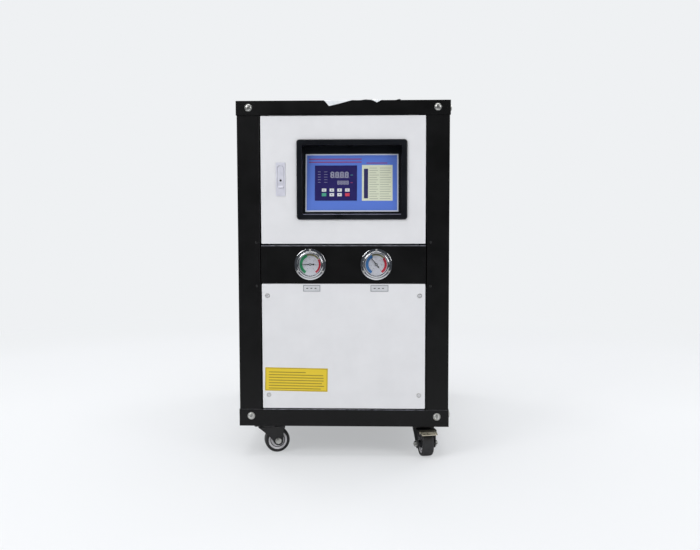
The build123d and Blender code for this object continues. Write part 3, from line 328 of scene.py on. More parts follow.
facia_film, tree, shader = new_finish("printed blue film on a black moulded case", "#5475cf")
where = surface(tree, shader, 1.2, 0.005)
cloud(tree, shader, where, 40, (0.3, 0.36))
PANEL_LEAN = math.radians(9.3)
PANEL_X, PANEL_Y, PANEL_Z = middle("control_panel", X), span("control_panel", Y)[0], 659.4
PANEL_FACING = (0, -math.cos(PANEL_LEAN), math.sin(PANEL_LEAN))
film_back = PANEL_Y * PANEL_FACING[Y] + PANEL_Z * PANEL_FACING[Z] - 0.14
along = add(tree, "VectorMath", {0: where}, {1: PANEL_FACING}, operation="DOT_PRODUCT")
film_side = add(tree, "Math", {0: along.outputs["Value"]}, {1: film_back * MM}, operation="GREATER_THAN")
mix = add(tree, "Mix", {"Factor": film_side.outputs[0]}, {6: linear("#101114"), 7: linear("#5879d1")},
          data_type="RGBA")
tree.links.new(mix.outputs[2], shader.inputs["Base Color"])
window_acrylic = coated("tinted acrylic window", ("#28235a", "#2e2863"), (0.14, 0.2), 3.0, 0.004, 0.2, 40)
dial_print = coated("printed aluminium dial", ("#c6c8d2", "#d0d2da"), (0.4, 0.48), 1.0, 0.004, 0.0, 20)
needle_paint = coated("black lacquered needle", ("#0e0e0f", "#171718"), (0.35, 0.45), 0.8, 0.005)

gauge_glass, tree, shader = new_finish("float glass", "#ffffff", Transmission_Weight=1.0, Roughness=0.01,
                                       IOR=1.5)
where = add(tree, "TexCoord").outputs["Object"]
ripple = add(tree, "TexNoise", {"Vector": where}, {"Scale": 40.0})
gentle = add(tree, "Bump", {"Height": ripple.outputs["Fac"]}, {"Distance": 0.02 * MM})
tree.links.new(gentle.outputs["Normal"], shader.inputs["Normal"])
clear = add(tree, "BsdfTransparent")
rays = add(tree, "LightPath")
open_glass = add(tree, "MixShader",
                 {0: rays.outputs["Is Shadow Ray"], 1: shader.outputs[0], 2: clear.outputs[0]})
tree.links.new(open_glass.outputs[0], tree.nodes["Material Output"].inputs["Surface"])
print(facia_film.name, window_acrylic.name, gauge_glass.name)

# %% [markdown]
# ## Dressing the CAD nodes
#
# A CAD node whose shape is right keeps it and only takes a finish. The record names one
# material slot for each node, so the finishes are handed out by slot.

# %% Finishes by slot
finish_of_slot = {
    "black_powder_coat": black_coat, "white_powder_coat": white_coat, "galvanised_sheet": galvanised,
    "control_gear_plastic": gear_plastic, "coil_aluminium": aluminium, "fan_plastic": fan_plastic,
    "motor_enamel": motor_enamel, "brass": brass, "gland_nylon": gland_plastic,
    "bezel_plastic": surround_plastic, "blue_facia": facia_film, "display_acrylic": window_acrylic,
    "key_silicone": dial_print, "lock_zinc": satin_chrome, "gauge_chrome": chrome, "dial_white": dial_print,
    "needle_black": needle_paint, "gauge_glass": gauge_glass, "caster_steel_black": black_steel,
    "core_nylon": core_plastic, "tyre_rubber": tyre_rubber, "pedal_steel": yellow_zinc}
slot_of_node = {part["node"]: part["material_slot"] for part in frame["record"]["subparts"]}
for name, node in frame["nodes"].items():
    node.data.materials.clear()
    node.data.materials.append(finish_of_slot[slot_of_node[name]])
print("dressed", len(frame["nodes"]), "nodes in", len(finish_of_slot), "finishes")

# %% [markdown]
# ## Floor, backdrop and lamps
#
# A studio has a pale floor and a pale wall with soft lamps in front. The camera sees the world
# as that wall on every side. Mirrors and gloss see more of a real room: it is pale behind the
# chiller and dark behind the camera, where a photographer hangs black cloth, and that is what
# draws the dark bands in the chrome and keeps the black paint black. Ordinary surfaces get an
# even grey fill. Far from the chiller the floor fades to the wall's colour for the camera, and
# to the room's for mirrors. To the camera the floor also glows by half, as a lit acrylic table
# does, so that the shadow under the base stays pale.

# %% World
WALL, ROOM, FILL = "#eff1f3", "#43464b", "#a2a4a7"
world = bpy.data.worlds.new("studio")
bpy.context.scene.world = world
world.use_nodes = True
tree = world.node_tree
direction = add(tree, "TexCoord").outputs["Generated"]
ahead = add(tree, "SeparateXYZ", {"Vector": direction}).outputs["Y"]
toward_wall = add(tree, "MapRange", {"Value": ahead}, {"From Min": -0.5, "From Max": 0.35})
mirrored = add(tree, "Mix", {"Factor": toward_wall.outputs["Result"]}, {6: linear(ROOM), 7: linear(WALL)},
               data_type="RGBA")
rays = add(tree, "LightPath")
mirror_ray = add(tree, "Math", {0: rays.outputs["Is Glossy Ray"], 1: rays.outputs["Is Transmission Ray"]},
                 operation="MAXIMUM")
indirect = add(tree, "Mix", {"Factor": mirror_ray.outputs[0], 7: mirrored.outputs[2]}, {6: linear(FILL)},
               data_type="RGBA")
light = add(tree, "Mix", {"Factor": rays.outputs["Is Camera Ray"], 6: indirect.outputs[2]},
            {7: linear(WALL)}, data_type="RGBA")
background = tree.nodes["Background"]
tree.links.new(light.outputs[2], background.inputs["Color"])
print("wall colour", WALL)

# %% Floor
FLOOR_HALF, FADE_START, FADE_END, FLOOR_GLOW = 9.0, 1.0, 2.6, 0.5
bm = bmesh.new()
bmesh.ops.create_grid(bm, x_segments=8, y_segments=8, size=FLOOR_HALF)
mesh = bpy.data.meshes.new("floor")
bm.to_mesh(mesh)
bm.free()
floor = bpy.data.objects.new("floor", mesh)
bpy.context.collection.objects.link(floor)
floor_paint, tree, shader = new_finish("pale studio floor", "#f0f1f3", Roughness=0.6)
where = surface(tree, shader, 3.0, 0.02)
far = add(tree, "VectorMath", {0: where}, operation="LENGTH").outputs["Value"]
fade = add(tree, "MapRange", {"Value": far}, {"From Min": FADE_START, "From Max": FADE_END},
           interpolation_type="SMOOTHSTEP")
rays = add(tree, "LightPath")
seen = add(tree, "Math", {0: rays.outputs["Is Camera Ray"], 1: rays.outputs["Is Glossy Ray"]},
           operation="MAXIMUM")
far_share = add(tree, "Math", {0: fade.outputs["Result"], 1: seen.outputs[0]}, operation="MULTIPLY")
glow = add(tree, "Math", {0: rays.outputs["Is Camera Ray"]}, {1: FLOOR_GLOW}, operation="MULTIPLY")
share = add(tree, "Math", {0: far_share.outputs[0], 1: glow.outputs[0]}, operation="MAXIMUM")
tone = add(tree, "Mix", {"Factor": rays.outputs["Is Camera Ray"]}, {6: linear(ROOM), 7: linear(WALL)},
           data_type="RGBA")
distance = add(tree, "Emission", {"Color": tone.outputs[2]})
both = add(tree, "MixShader", {0: share.outputs[0], 1: shader.outputs[0], 2: distance.outputs[0]})
tree.links.new(both.outputs[0], tree.nodes["Material Output"].inputs["Surface"])
mesh.materials.append(floor_paint)
print("floor reaches", FLOOR_HALF, "m each way")

# %% Lamps
def soft_lamp(name, stand, aim, watts, size):
    """A square softbox that stands at one point and faces another."""
    lamp = bpy.data.lights.new(name, "AREA")
    lamp.energy = watts
    lamp.size = size
    holder = bpy.data.objects.new(name, lamp)
    bpy.context.collection.objects.link(holder)
    holder.location = stand
    holder.rotation_euler = (Vector(aim) - Vector(stand)).to_track_quat("-Z", "Y").to_euler()


soft_lamp("key", (-1.9, -2.6, 2.3), (0, -0.3, 0.5), 41, 1.5)
soft_lamp("fill", (2.3, -2.4, 1.5), (0, -0.3, 0.5), 24, 1.5)
soft_lamp("rear left", (-2.2, 2.3, 2.2), (0, 0.2, 0.5), 26, 1.5)
soft_lamp("rear right", (2.2, 2.3, 2.2), (0, 0.2, 0.5), 26, 1.5)
soft_lamp("top", (0, -0.1, 3.4), (0, -0.1, 0.9), 52, 2.6)
print("five soft lamps")

# %% [markdown]
# ## Helpers for new pieces
#
# Every new piece starts as a bmesh, Blender's editable mesh, in its own small frame. It is
# turned and moved to its place as vertices, so the finished object stays at the origin. One
# helper puts copies of a shape in their places, one joins shapes, one makes the object, and one
# cuts a shape out of another with the Boolean modifier. What is round is spun: a line becomes a
# skin, a circle becomes a tube. Flat prints are drawn in a plane and given a thickness, so they
# are real, closed solids. Two quarter turns about X come back often: FACING_UP raises what faces
# -Y, and ACROSS lays down what stands along Z.

# %% Piece helpers
def place(x, y, z, turn=0.0):
    """Matrix that turns about Z in degrees, and moves to a place in millimetres."""
    return Matrix.Translation((x * MM, y * MM, z * MM)) @ Matrix.Rotation(math.radians(turn), 4, "Z")


FACING_UP, ACROSS = Matrix.Rotation(math.radians(-90), 4, "X"), Matrix.Rotation(math.radians(90), 4, "X")


def mesh_of(bm, name="shape"):
    """Turns a bmesh into a mesh and frees it."""
    mesh = bpy.data.meshes.new(name)
    bm.to_mesh(mesh)
    bm.free()
    return mesh


def copies(bm, places):
    """One bmesh that holds a copy of bm at each of the places."""
    mesh = mesh_of(bm)
    many = bmesh.new()
    for matrix in places:
        moved = mesh.copy()
        moved.transform(matrix)
        many.from_mesh(moved)
        bpy.data.meshes.remove(moved)
    bpy.data.meshes.remove(mesh)
    return many


def together(*shapes):
    """One bmesh of several."""
    whole = bmesh.new()
    for shape in shapes:
        mesh = mesh_of(shape)
        whole.from_mesh(mesh)
        bpy.data.meshes.remove(mesh)
    return whole


def piece(name, bm, finish, body, sharp=32):
    """Makes a named object of a bmesh, smooth up to an angle, that rides on a body."""
    mesh = mesh_of(bm, name)
    mesh.shade_smooth()
    mesh.set_sharp_from_angle(angle=math.radians(sharp))
    mesh.materials.append(finish)
    obj = bpy.data.objects.new(name, mesh)
    bpy.context.collection.objects.link(obj)
    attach(obj, body)
    return obj


def cut(bm, tool, how="DIFFERENCE"):
    """Cuts tool out of bm, or keeps what they share."""
    pair = []
    for shape in (bm, tool):
        obj = bpy.data.objects.new("cut", mesh_of(shape))
        bpy.context.collection.objects.link(obj)
        pair.append(obj)
    boolean = pair[0].modifiers.new("cut", "BOOLEAN")
    boolean.object = pair[1]
    boolean.operation = how
    boolean.solver = "EXACT"
    graph = bpy.context.evaluated_depsgraph_get()
    mesh = bpy.data.meshes.new_from_object(pair[0].evaluated_get(graph))
    for obj in pair:
        bpy.data.meshes.remove(obj.data)
    result = bmesh.new()
    result.from_mesh(mesh)
    bpy.data.meshes.remove(mesh)
    return result


def slab(x, y, z, edge=0.3, segments=2):
    """A block around the origin with rounded edges."""
    bm = bmesh.new()
    bmesh.ops.create_cube(bm, size=1.0)
    bmesh.ops.scale(bm, vec=(x * MM, y * MM, z * MM), verts=bm.verts)
    if edge:
        bmesh.ops.bevel(bm, geom=bm.edges[:], offset=edge * MM, affect="EDGES", segments=segments,
                        profile=0.5, material=-1)
    return bm


def around(radius, angle):
    """The point at a radius and an angle in degrees, from the right and against the clock."""
    return radius * math.cos(math.radians(angle)), radius * math.sin(math.radians(angle))


def spin(bm, axis, angle, steps, centre=(0, 0, 0), climb=(0, 0, 0), merge=False):
    """Spins all of bm about an axis by an angle in radians, and may climb at each step."""
    bmesh.ops.spin(bm, geom=bm.verts[:] + bm.edges[:], cent=centre, axis=axis, dvec=climb, angle=angle,
                   steps=steps, use_merge=merge, use_duplicate=False)


def turned(points, steps=96):
    """Turns a line of (radius, Y) points about Y into a closed skin."""
    bm = bmesh.new()
    line = [bm.verts.new((r * MM, y * MM, 0)) for r, y in points]
    for a, b in zip(line, line[1:]):
        bm.edges.new((a, b))
    spin(bm, (0, 1, 0), 2 * math.pi, steps, merge=True)
    bmesh.ops.remove_doubles(bm, verts=bm.verts, dist=1e-7)
    bmesh.ops.recalc_face_normals(bm, faces=bm.faces)
    return bm


def thickened(bm, thick):
    """Gives faces in the XY plane a thickness along +Z."""
    made = bmesh.ops.extrude_face_region(bm, geom=bm.faces[:])["geom"]
    top = [g for g in made if isinstance(g, bmesh.types.BMVert)]
    bmesh.ops.translate(bm, vec=(0, 0, thick * MM), verts=top)
    bmesh.ops.recalc_face_normals(bm, faces=bm.faces)
    return bm


def flat(points, thick):
    """A flat outline in XY, thickened."""
    bm = bmesh.new()
    bm.faces.new([bm.verts.new((x * MM, y * MM, 0)) for x, y in points])
    return thickened(bm, thick)


def bar(x0, y0, x1, y1, thick):
    """A flat rectangle between two corners."""
    return flat([(x0, y0), (x1, y0), (x1, y1), (x0, y1)], thick)


test = bar(0, 0, 10, 10, 1)
print("a thickened outline is closed:", all(len(edge.link_faces) == 2 for edge in test.edges))
test.free()

# %% [markdown]
# ## Screws
#
# The cover and the base are held by large truss-head screws at the corners, and the panels by
# small ones. A truss head is a low dome with a cross recess. It could be a sphere cut flat, but
# turning its real section gives the thin rim that catches the light. The recess is cut by two
# crossed blades, and one head is then copied to every place.

# %% Screw head
def screw_head(width, height):
    """Head that sits on y = 0 and faces -Y, with a cross recess."""
    r = width / 2
    bm = turned([(0, 0), (r * 0.97, 0), (r, -0.1 * height), (r * 0.985, -0.26 * height),
                 (r * 0.86, -0.55 * height), (r * 0.66, -0.8 * height), (r * 0.4, -0.95 * height),
                 (r * 0.15, -height), (0, -height)], 40)
    for x, z in ((0.92, 0.2), (0.2, 0.92)):
        blade = slab(r * x, height * 1.2, r * z, 0)
        tips = [v for v in blade.verts if v.co.y > 0]
        bmesh.ops.scale(blade, vec=(0.55, 1, 0.55), verts=tips)
        bmesh.ops.translate(blade, vec=(0, -height * 0.95 * MM, 0), verts=blade.verts)
        bm = cut(bm, blade)
    return bm


corner = screw_head(18.6, 4.2)
print("screw head:", len(corner.faces), "faces")

# %% Corner screws
COVER_FRONT, BASE_FRONT = span("top_cover", Y)[0], span("base_frame", Y)[0]
WASHER, SIDE_SCREWS = 0.6, 418.5
spots = []
for z, x, out in ((932.0, 248.5, FRONT - COVER_FRONT), (110.8, 249.3, FRONT - BASE_FRONT)):
    for way in (-1, 1):
        spots += [place(way * x, FRONT - out, z), place(way * x, REAR + out, z, 180),
                  place(SIDE + out, way * SIDE_SCREWS, z, 90), place(-SIDE - out, way * SIDE_SCREWS, z, -90)]
heads = copies(corner, [m @ place(0, -WASHER, 0) for m in spots])
washer = turned([(0, 0), (9.9, 0), (10.1, -0.3), (9.9, -WASHER), (0, -WASHER)], 48)
piece("corner_screws", together(heads, copies(washer, spots)), zinc_plate, "cabinet")
print(len(spots), "corner screws")

# %% Panel screws
PANEL_WASHER = 0.5
spots = [place(way * x, FRONT, z) for x, z in ((202.5, 436.3), (201.0, 168.3)) for way in (-1, 1)]
for z in (880.0, 520.0, 160.0):
    for way in (-1, 1):
        spots += [place(way * 203, REAR, z, 180), place(SIDE, way * 368, z, 90),
                  place(-SIDE, way * 368, z, -90)]
nickel = coated("nickel plate, satin", ("#d6d6da", "#e2e2e5"), (0.3, 0.4), 1.2, 0.01, 0.1, 6, Metallic=0.4)
heads = copies(screw_head(8.4, 2.2), [m @ place(0, -PANEL_WASHER, 0) for m in spots])
piece("panel_screws", heads, nickel, "cabinet")
washer = turned([(0, 0), (5.9, 0), (6.1, -0.2), (5.9, -PANEL_WASHER), (0, -PANEL_WASHER)], 40)
piece("panel_washers", copies(washer, spots), zinc_plate, "cabinet")
rivet = turned([(0, 0), (3.2, 0), (3.0, -0.8), (2.0, -1.5), (0, -1.8)], 32)
rivet_spots = [place(x, FRONT, z) for x in (-231, 231) for z in (578.0, 462.0)]
piece("post_rivets", copies(rivet, rivet_spots), black_steel, "cabinet")
print(len(spots), "panel screws,", len(rivet_spots), "rivets")

# %% [markdown]
# ## The gauges' cases
#
# Each gauge is a pressed and chromed case: a flange against the band, a crimped ring that holds
# the glass, and a cup for the movement. The CAD case has the same section with straight
# corners. Mirrors show every corner, so the case is turned again here from the section with its
# rounded edges, and stands in for the CAD node. Three small screws hold the flange.

# %% Gauge cases
GAUGES = {side: middle("gauge_case_" + side, X) for side in ("left", "right")}
GAUGE_Z, FLANGE_HOLES, FLANGE_FACE = middle("gauge_case_left", Z), 38.2, FRONT - 1.5
ring = [(31.4 + u, -7.4 - v) for u, v in (around(3.1, 10 * i) for i in range(10))]
case_line = [(0, 32), (29, 32), (30.5, 30.5), (30.5, 0), (41, 0), (41.5, -0.4), (41.4, -1.1), (40.6, -1.5),
             (36.4, -1.5), (35.3, -1.7), (34.7, -2.4), *ring, (30.2, -10.2), (29.7, -9.6), (29.5, -8.8),
             (29.5, 1), (0, 1)]
stem_line = [(0, 31), (6.6, 31), (6.6, 46), (5.8, 46.4), (5.8, 53), (5.2, 53.5), (0, 53.5)]
screw_spots = []
for side, x in GAUGES.items():
    case = together(turned(case_line, 160), turned(stem_line, 32))
    obj = piece("gauge_case_turned_" + side, copies(case, [place(x, FRONT, GAUGE_Z)]), chrome, "cabinet")
    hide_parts("gauge_case_" + side)
    for u, v in (around(FLANGE_HOLES, angle) for angle in (90, 210, 330)):
        screw_spots.append(place(x + u, FLANGE_FACE, GAUGE_Z + v))
piece("gauge_flange_screws", copies(screw_head(5.6, 1.8), screw_spots), zinc_plate, "cabinet")
print("two cases,", len(screw_spots), "flange screws")

# %% [markdown]
# ## The dials' print
#
# A gauge's scale is printed on its dial: a coloured band for the working, the high and the
# danger range, division lines, and numbers. Each band is an edge spun through its angle and
# given the thickness of ink. The left gauge reads low, with a long green range, and the right
# one has blue in its place. The numbers are plain text made into mesh.

# %% Dial print
ink_green = printed("printing ink, green", "#2f9a63")
ink_blue = printed("printing ink, blue", "#3f7fc0")
ink_red = printed("printing ink, red", "#c2253a")
ink_olive = printed("printing ink, olive", "#8f8c63")
ink_black = printed("printing ink, black", "#1d1e22")


def plane_at(x, y, z, across=(1, 0, 0), upward=(0, 0, 1), outward=(0, -1, 0)):
    """Matrix that puts a drawing from XY on a surface, with its thickness outward."""
    return place(x, y, z) @ Matrix((across, upward, outward)).transposed().to_4x4()


def sector(r0, r1, start, end, thick):
    """A band between two radii and two angles, counted from the right and against the clock."""
    bm = bmesh.new()
    ends = [bm.verts.new((*around(r * MM, start), 0)) for r in (r0, r1)]
    bm.edges.new(ends)
    spin(bm, (0, 0, 1), math.radians(end - start), max(2, int(abs(end - start) / 3)))
    return thickened(bm, thick)


def written(text, size, thick, x=0.0, y=0.0):
    """Text as a mesh, centred on a point of the drawing."""
    font = bpy.data.curves.new("number", "FONT")
    font.body = text
    font.size = size * MM
    font.align_x = "CENTER"
    font.align_y = "CENTER"
    font.extrude = thick * MM / 2
    holder = bpy.data.objects.new("number", font)
    bpy.context.collection.objects.link(holder)
    mesh = bpy.data.meshes.new_from_object(holder.evaluated_get(bpy.context.evaluated_depsgraph_get()))
    bpy.data.curves.remove(font)
    mesh.transform(Matrix.Translation((x * MM, y * MM, thick * MM / 2)))
    bm = bmesh.new()
    bm.from_mesh(mesh)
    bpy.data.meshes.remove(mesh)
    bmesh.ops.remove_doubles(bm, verts=bm.verts, dist=1e-8)
    return bm


DIAL_FACE, NEEDLE_FACE, INK = span("gauge_dials", Y)[0], span("gauge_needles", Y)[0], 0.06
SCALE_START, SCALE_SWEEP, DIVISIONS, NUMBERS = 240.0, -295.0, 30, 6
BAND_OUT, TICKS_OUT, NUMBERS_OUT, NUMBER_HIGH = 28.2, 20.0, 13.4, 3.6
bands = {"left": ((ink_green, 0.0, 0.44, 20.6), (ink_olive, 0.44, 0.70, 23.6), (ink_red, 0.71, 1.0, 22.8)),
         "right": ((ink_blue, 0.0, 0.42, 20.6), (ink_olive, 0.42, 0.68, 23.6), (ink_red, 0.68, 1.0, 21.6))}
for side, x in GAUGES.items():
    spot = plane_at(x, DIAL_FACE, GAUGE_Z)
    for ink, a, b, inner in bands[side]:
        band = sector(inner, BAND_OUT, SCALE_START + SCALE_SWEEP * a, SCALE_START + SCALE_SWEEP * b, INK)
        piece("dial_" + ink.name.split()[-1] + "_" + side, copies(band, [spot]), ink, "cabinet")
    marks = []
    for i in range(DIVISIONS + 1):
        long, thin = (3.4, 0.45) if i % 5 == 0 else (1.9, 0.25)
        tick = bar(TICKS_OUT - long, -thin / 2, TICKS_OUT, thin / 2, INK)
        marks.append(copies(tick, [place(0, 0, 0, SCALE_START + SCALE_SWEEP * i / DIVISIONS)]))
    for i in range(NUMBERS + 1):
        u, v = around(NUMBERS_OUT, SCALE_START + SCALE_SWEEP * i / NUMBERS)
        marks.append(written(str(2 * i), NUMBER_HIGH, INK, u, v))
    piece("dial_scale_" + side, copies(together(*marks), [spot]), ink_black, "cabinet")
hub_cap = turned([(0, 0.3), (2.3, 0.3), (2.3, -0.5), (1.9, -0.9), (0, -1.0)], 32)
caps = copies(hub_cap, [place(x, NEEDLE_FACE, GAUGE_Z) for x in GAUGES.values()])
piece("needle_hub_caps", caps, aluminium, "cabinet")
print("bands, ticks and numbers on", len(GAUGES), "dials")

# %% [markdown]
# ## The control panel
#
# The panel is a printed film on a plate that leans back, so its drawing is laid out flat, in
# millimetres across and up the slope, and one matrix puts it in place. Plain rules and bars
# stand on it, in crimson above and in grey on the cream table. The big and the small display
# are rows of seven-segment figures, each segment a long hexagon.

# %% Panel drawing
FACIA = plane_at(PANEL_X, PANEL_Y, PANEL_Z, upward=(0, math.sin(PANEL_LEAN), math.cos(PANEL_LEAN)),
                 outward=PANEL_FACING)
FILM, FINE, WINDOW = 0.12, 0.08, 1.0
ink_grey = printed("printing ink, light grey", "#ccd1de")
ink_cream = printed("printing ink, cream", "#d3d8c2")
ink_navy = printed("printing ink, navy", "#2c285c")
ink_crimson = printed("printing ink, crimson", "#8f3565")
ink_stone = printed("printing ink, stone", "#9a9f8d")
segment_grey = printed("unlit display segments", "#b4b6c4")


def on_panel(name, shapes, ink, lift=0.0):
    """A print or key of the panel's own drawing, lifted off its film, that swings with the door."""
    return piece(name, copies(together(*shapes), [FACIA @ place(0, 0, lift)]), ink, "door")


def framed(width, height, inset, line, thick):
    """The four bars of a border inside a rectangle with one corner at the origin."""
    a, b = inset, inset + line
    return together(bar(a, a, width - a, b, thick), bar(a, height - b, width - a, height - a, thick),
                    bar(a, b, b, height - b, thick), bar(width - b, b, width - a, height - b, thick))


PANEL_WIDE, PANEL_HIGH, PANEL_RIM = 246.5, 154.6, 3.4
border = framed(PANEL_WIDE, PANEL_HIGH, 0, PANEL_RIM, FILM)
on_panel("panel_border", [copies(border, [place(-PANEL_WIDE / 2, 0, 0)])], ink_grey)
on_panel("panel_title_rules", [bar(-114.2, 139.4, 25.6, 142.1, FILM), bar(-114.2, 131.3, 25.6, 134.0, FILM),
                               bar(38.6, 128.9, 93.6, 131.2, FILM)], ink_crimson)
on_panel("panel_table", [bar(26.7, 29.2, 107.9, 124.9, FILM)], ink_cream)
on_panel("panel_table_strip", [bar(31.9, 35.4, 42.9, 114.9, FINE)], ink_navy, FILM)
rows = []
for i in range(14):
    v = 34.0 + i * 6.3
    rows += [bar(46.5, v, 46.5 + (23, 20, 25, 18)[i % 4], v + 1.3, FINE),
             bar(74.0, v, 74.0 + (28, 30, 24, 29)[i % 4], v + 1.3, FINE)]
on_panel("panel_table_rules", rows, ink_stone, FILM)
print("table with", len(rows), "rules")

# %% Display figures
def figure(width, height, stroke):
    """The seven segments of one figure, its lower left corner at the origin."""
    long, across, h = (height - stroke) / 2, width - stroke, stroke * 0.42
    strokes = []
    for x, y, length, angle in ((0, 0, long, 90), (0, long, long, 90), (across, 0, long, 90),
                                (across, long, long, 90), (0, 0, across, 0), (0, long, across, 0),
                                (0, 2 * long, across, 0)):
        shape = flat([(h * 0.4, 0), (h * 1.4, h), (length - h * 1.4, h), (length - h * 0.4, 0),
                      (length - h * 1.4, -h), (h * 1.4, -h)], FINE)
        strokes.append(copies(shape, [place(x + stroke / 2, y + stroke / 2, 0, angle)]))
    return together(*strokes)


DIGITS, PITCH_BIG, PITCH_SMALL = 4, 12.7, 8.0
big = copies(figure(9.6, 16.8, 2.6), [place(-56.7 + PITCH_BIG * i, 90, 0) for i in range(DIGITS)])
small = copies(figure(5.8, 11.1, 1.7), [place(-38.5 + PITCH_SMALL * i, 72, 0) for i in range(DIGITS)])
dots = [bar(-46.3 + PITCH_BIG * i, 90.2, -44.9 + PITCH_BIG * i, 91.6, FINE) for i in range(DIGITS)]
on_panel("display_figures", [big, small, *dots], segment_grey, WINDOW)
marks = []
for i in range(5):
    v = 78.0 + 7.0 * i
    marks += [bar(-90.4, v, -83.0, v + 1.2, FINE), bar(-74.0, v, -65.0, v + 1.0, FINE)]
high_mark, low_mark = bar(-3.6, 97.0, 2.6, 98.6, FINE), bar(-3.6, 76.5, 2.0, 78.1, FINE)
for name, shapes, colour, code in (("display_marks", marks, "grey", "#7f7fa0"),
                                   ("display_teal_mark", [high_mark], "teal", "#3c8a8a"),
                                   ("display_red_mark", [low_mark], "red", "#8f2c58")):
    on_panel(name, shapes, printed("display legend " + colour, code), WINDOW)
print("two rows of", DIGITS, "figures")

# %% Keys
KEY_COLUMNS, KEY_HIGH, MARK = [-73.7 + 20.6 * i for i in range(4)], 1.4, 0.05
upper, lower = 57.5, 45.1
silicone = {"white": "#d8dadd", "green": "#3f9f84", "red": "#cc3450"}
key_places = {"white": [(u, upper) for u in KEY_COLUMNS] + [(u, lower) for u in KEY_COLUMNS[1:3]],
              "green": [(KEY_COLUMNS[0], lower)], "red": [(KEY_COLUMNS[3], lower)]}
for colour, spots in key_places.items():
    cap = slab(12.0, 8.4, KEY_HIGH, 0.62, 3)
    keys = copies(cap, [place(u, v, KEY_HIGH / 2) for u, v in spots])
    rubber, tree, shader = new_finish("silicone key, " + colour, silicone[colour])
    cloud(tree, shader, surface(tree, shader, 0.7, 0.01), 60, (0.45, 0.55))
    obj = on_panel("keys_" + colour, [keys], rubber, WINDOW)
    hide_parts("keypad")
arrow = [(-2.2, -1.4), (2.2, -1.4), (0, 1.8)]
marks = [copies(flat(arrow, MARK), [place(u, upper, 0, turn)]) for u, turn in zip(KEY_COLUMNS[1:3], (0, 180))]
for column, v in ((0, upper), (3, upper), (1, lower), (2, lower)):
    u = KEY_COLUMNS[column]
    marks.append(bar(u - 2.4, v - 0.8, u + 1.6, v + 0.8, MARK))
on_panel("key_marks", marks, ink_black, WINDOW + KEY_HIGH)
print("keys:", {colour: len(spots) for colour, spots in key_places.items()})

# %% [markdown]
# ## Plates and the card
#
# A small aluminium plate is stuck under each gauge, with a grey border and three short bars, and
# a yellow vinyl card sits low on the front panel, with a border and ruled lines. The card leans
# by one degree, as it was stuck on. Each is a thin slab with its print laid over it.

# %% Plates and card
plate_metal = coated("anodised aluminium plate", ("#cbccd0", "#d5d6d9"), (0.45, 0.55), 1.0, 0.01, 0.1, 12,
                     Metallic=0.1)
plate_grey = printed("printing ink, plate grey", "#85878d")
PLATE_Z, PLATE_HIGH, PLATE_THICK, PLATE_INKED = 447.0, 18.3, 0.6, 0.7
for side, (x0, x1) in {"left": (-107.6, -61.0), "right": (71.8, 120.1)}.items():
    spot = plane_at(x0, FRONT, PLATE_Z)
    width = x1 - x0
    centre = place(width / 2, PLATE_HIGH / 2, PLATE_THICK / 2)
    plate = copies(slab(width, PLATE_HIGH, PLATE_THICK, 0.2), [centre])
    border = framed(width, PLATE_HIGH, 0.8, 1.4, PLATE_INKED)
    bars = together(*[bar(9 + i * 11, 8.0, 14.0 + i * 11, 10.2, PLATE_INKED) for i in range(3)])
    for part, shape, finish in (("", plate, plate_metal), ("border_", border, plate_grey),
                                ("bars_", bars, ink_black)):
        piece("gauge_plate_" + part + side, copies(shape, [spot]), finish, "cabinet")

card_yellow = printed("vinyl card, yellow", "#e2c52c", 0.4)
card_olive = printed("vinyl card ink, olive", "#a08c22", 0.4)
CARD_X, CARD_Z, CARD_WIDE, CARD_HIGH = -211.6, 179.6, 168.4, 63.6
CARD_THICK, CARD_INKED, LINE_HIGH, LINE_GAP = 0.15, 0.2, 2.6, 7.3
card_lean = math.atan2(-2.8, CARD_WIDE)
spot = plane_at(CARD_X, FRONT, CARD_Z) @ Matrix.Rotation(card_lean, 4, "Z")
card = copies(bar(0, 0, CARD_WIDE, CARD_HIGH, CARD_THICK), [spot])
piece("card", card, card_yellow, "cabinet")
rules = [framed(CARD_WIDE, CARD_HIGH, 1.0, 1.7, CARD_INKED)]
for i, end in enumerate((0.66, 0.97, 0.98, 0.98, 0.95, 0.99, 0.93)):
    low = 6.0 + LINE_GAP * (6 - i)
    rules.append(bar(10, low, 10 + (CARD_WIDE - 18) * end, low + LINE_HIGH, CARD_INKED))
piece("card_rules", copies(together(*rules), [spot]), card_olive, "cabinet")
print("card leans", round(math.degrees(card_lean), 2), "degrees")

# %% [markdown]
# ## The lock's key cylinder
#
# The paddle has a key cylinder near its lower end, a small turned barrel. Its slot is a flat black
# piece, painted shade that stands for the dark of the keyhole. The paddle swings, so the barrel
# rides on it. The button below has a raised ledge for the thumb, whose sloping face catches the
# light from above.

# %% Key cylinder
LOCK_X, LOCK_FACE = middle("lock_paddle", X), span("lock_paddle", Y)[0]
KEY_Z, LEDGE_Z = span("lock_paddle", Z)[0] + 8.6, span("lock_button", Z)[0] + 3.1
barrel = turned([(0, 0.4), (4.6, 0.4), (4.6, -0.3), (4.3, -0.7), (3.6, -0.7), (3.5, -0.4), (0, -0.4)], 48)
barrel = copies(barrel, [place(LOCK_X, LOCK_FACE, KEY_Z)])
piece("key_cylinder", barrel, satin_chrome, "lock_paddle")
# The slot is painted shade: a black slab and disc stand where the keyhole's dark opening is.
keyhole_painted_shade = together(slab(1.3, 0.4, 4.6, 0.1), turned([(0, 0.2), (2.7, 0.2), (2.7, -0.2), (0, -0.2)], 24))
keyhole_painted_shade = copies(keyhole_painted_shade, [place(LOCK_X, LOCK_FACE - 0.5, KEY_Z)])
piece("keyhole_painted_shade", keyhole_painted_shade, ink_black, "lock_paddle")
ledge = copies(slab(13.6, 2.4, 4.2, 1.1, 3), [Matrix.Rotation(math.radians(-38), 4, "X")])
ledge = copies(ledge, [place(LOCK_X, LOCK_FACE + 0.2, LEDGE_Z)])
piece("button_ledge", ledge, satin_chrome, "lock_button")
print("key cylinder at Z", KEY_Z)

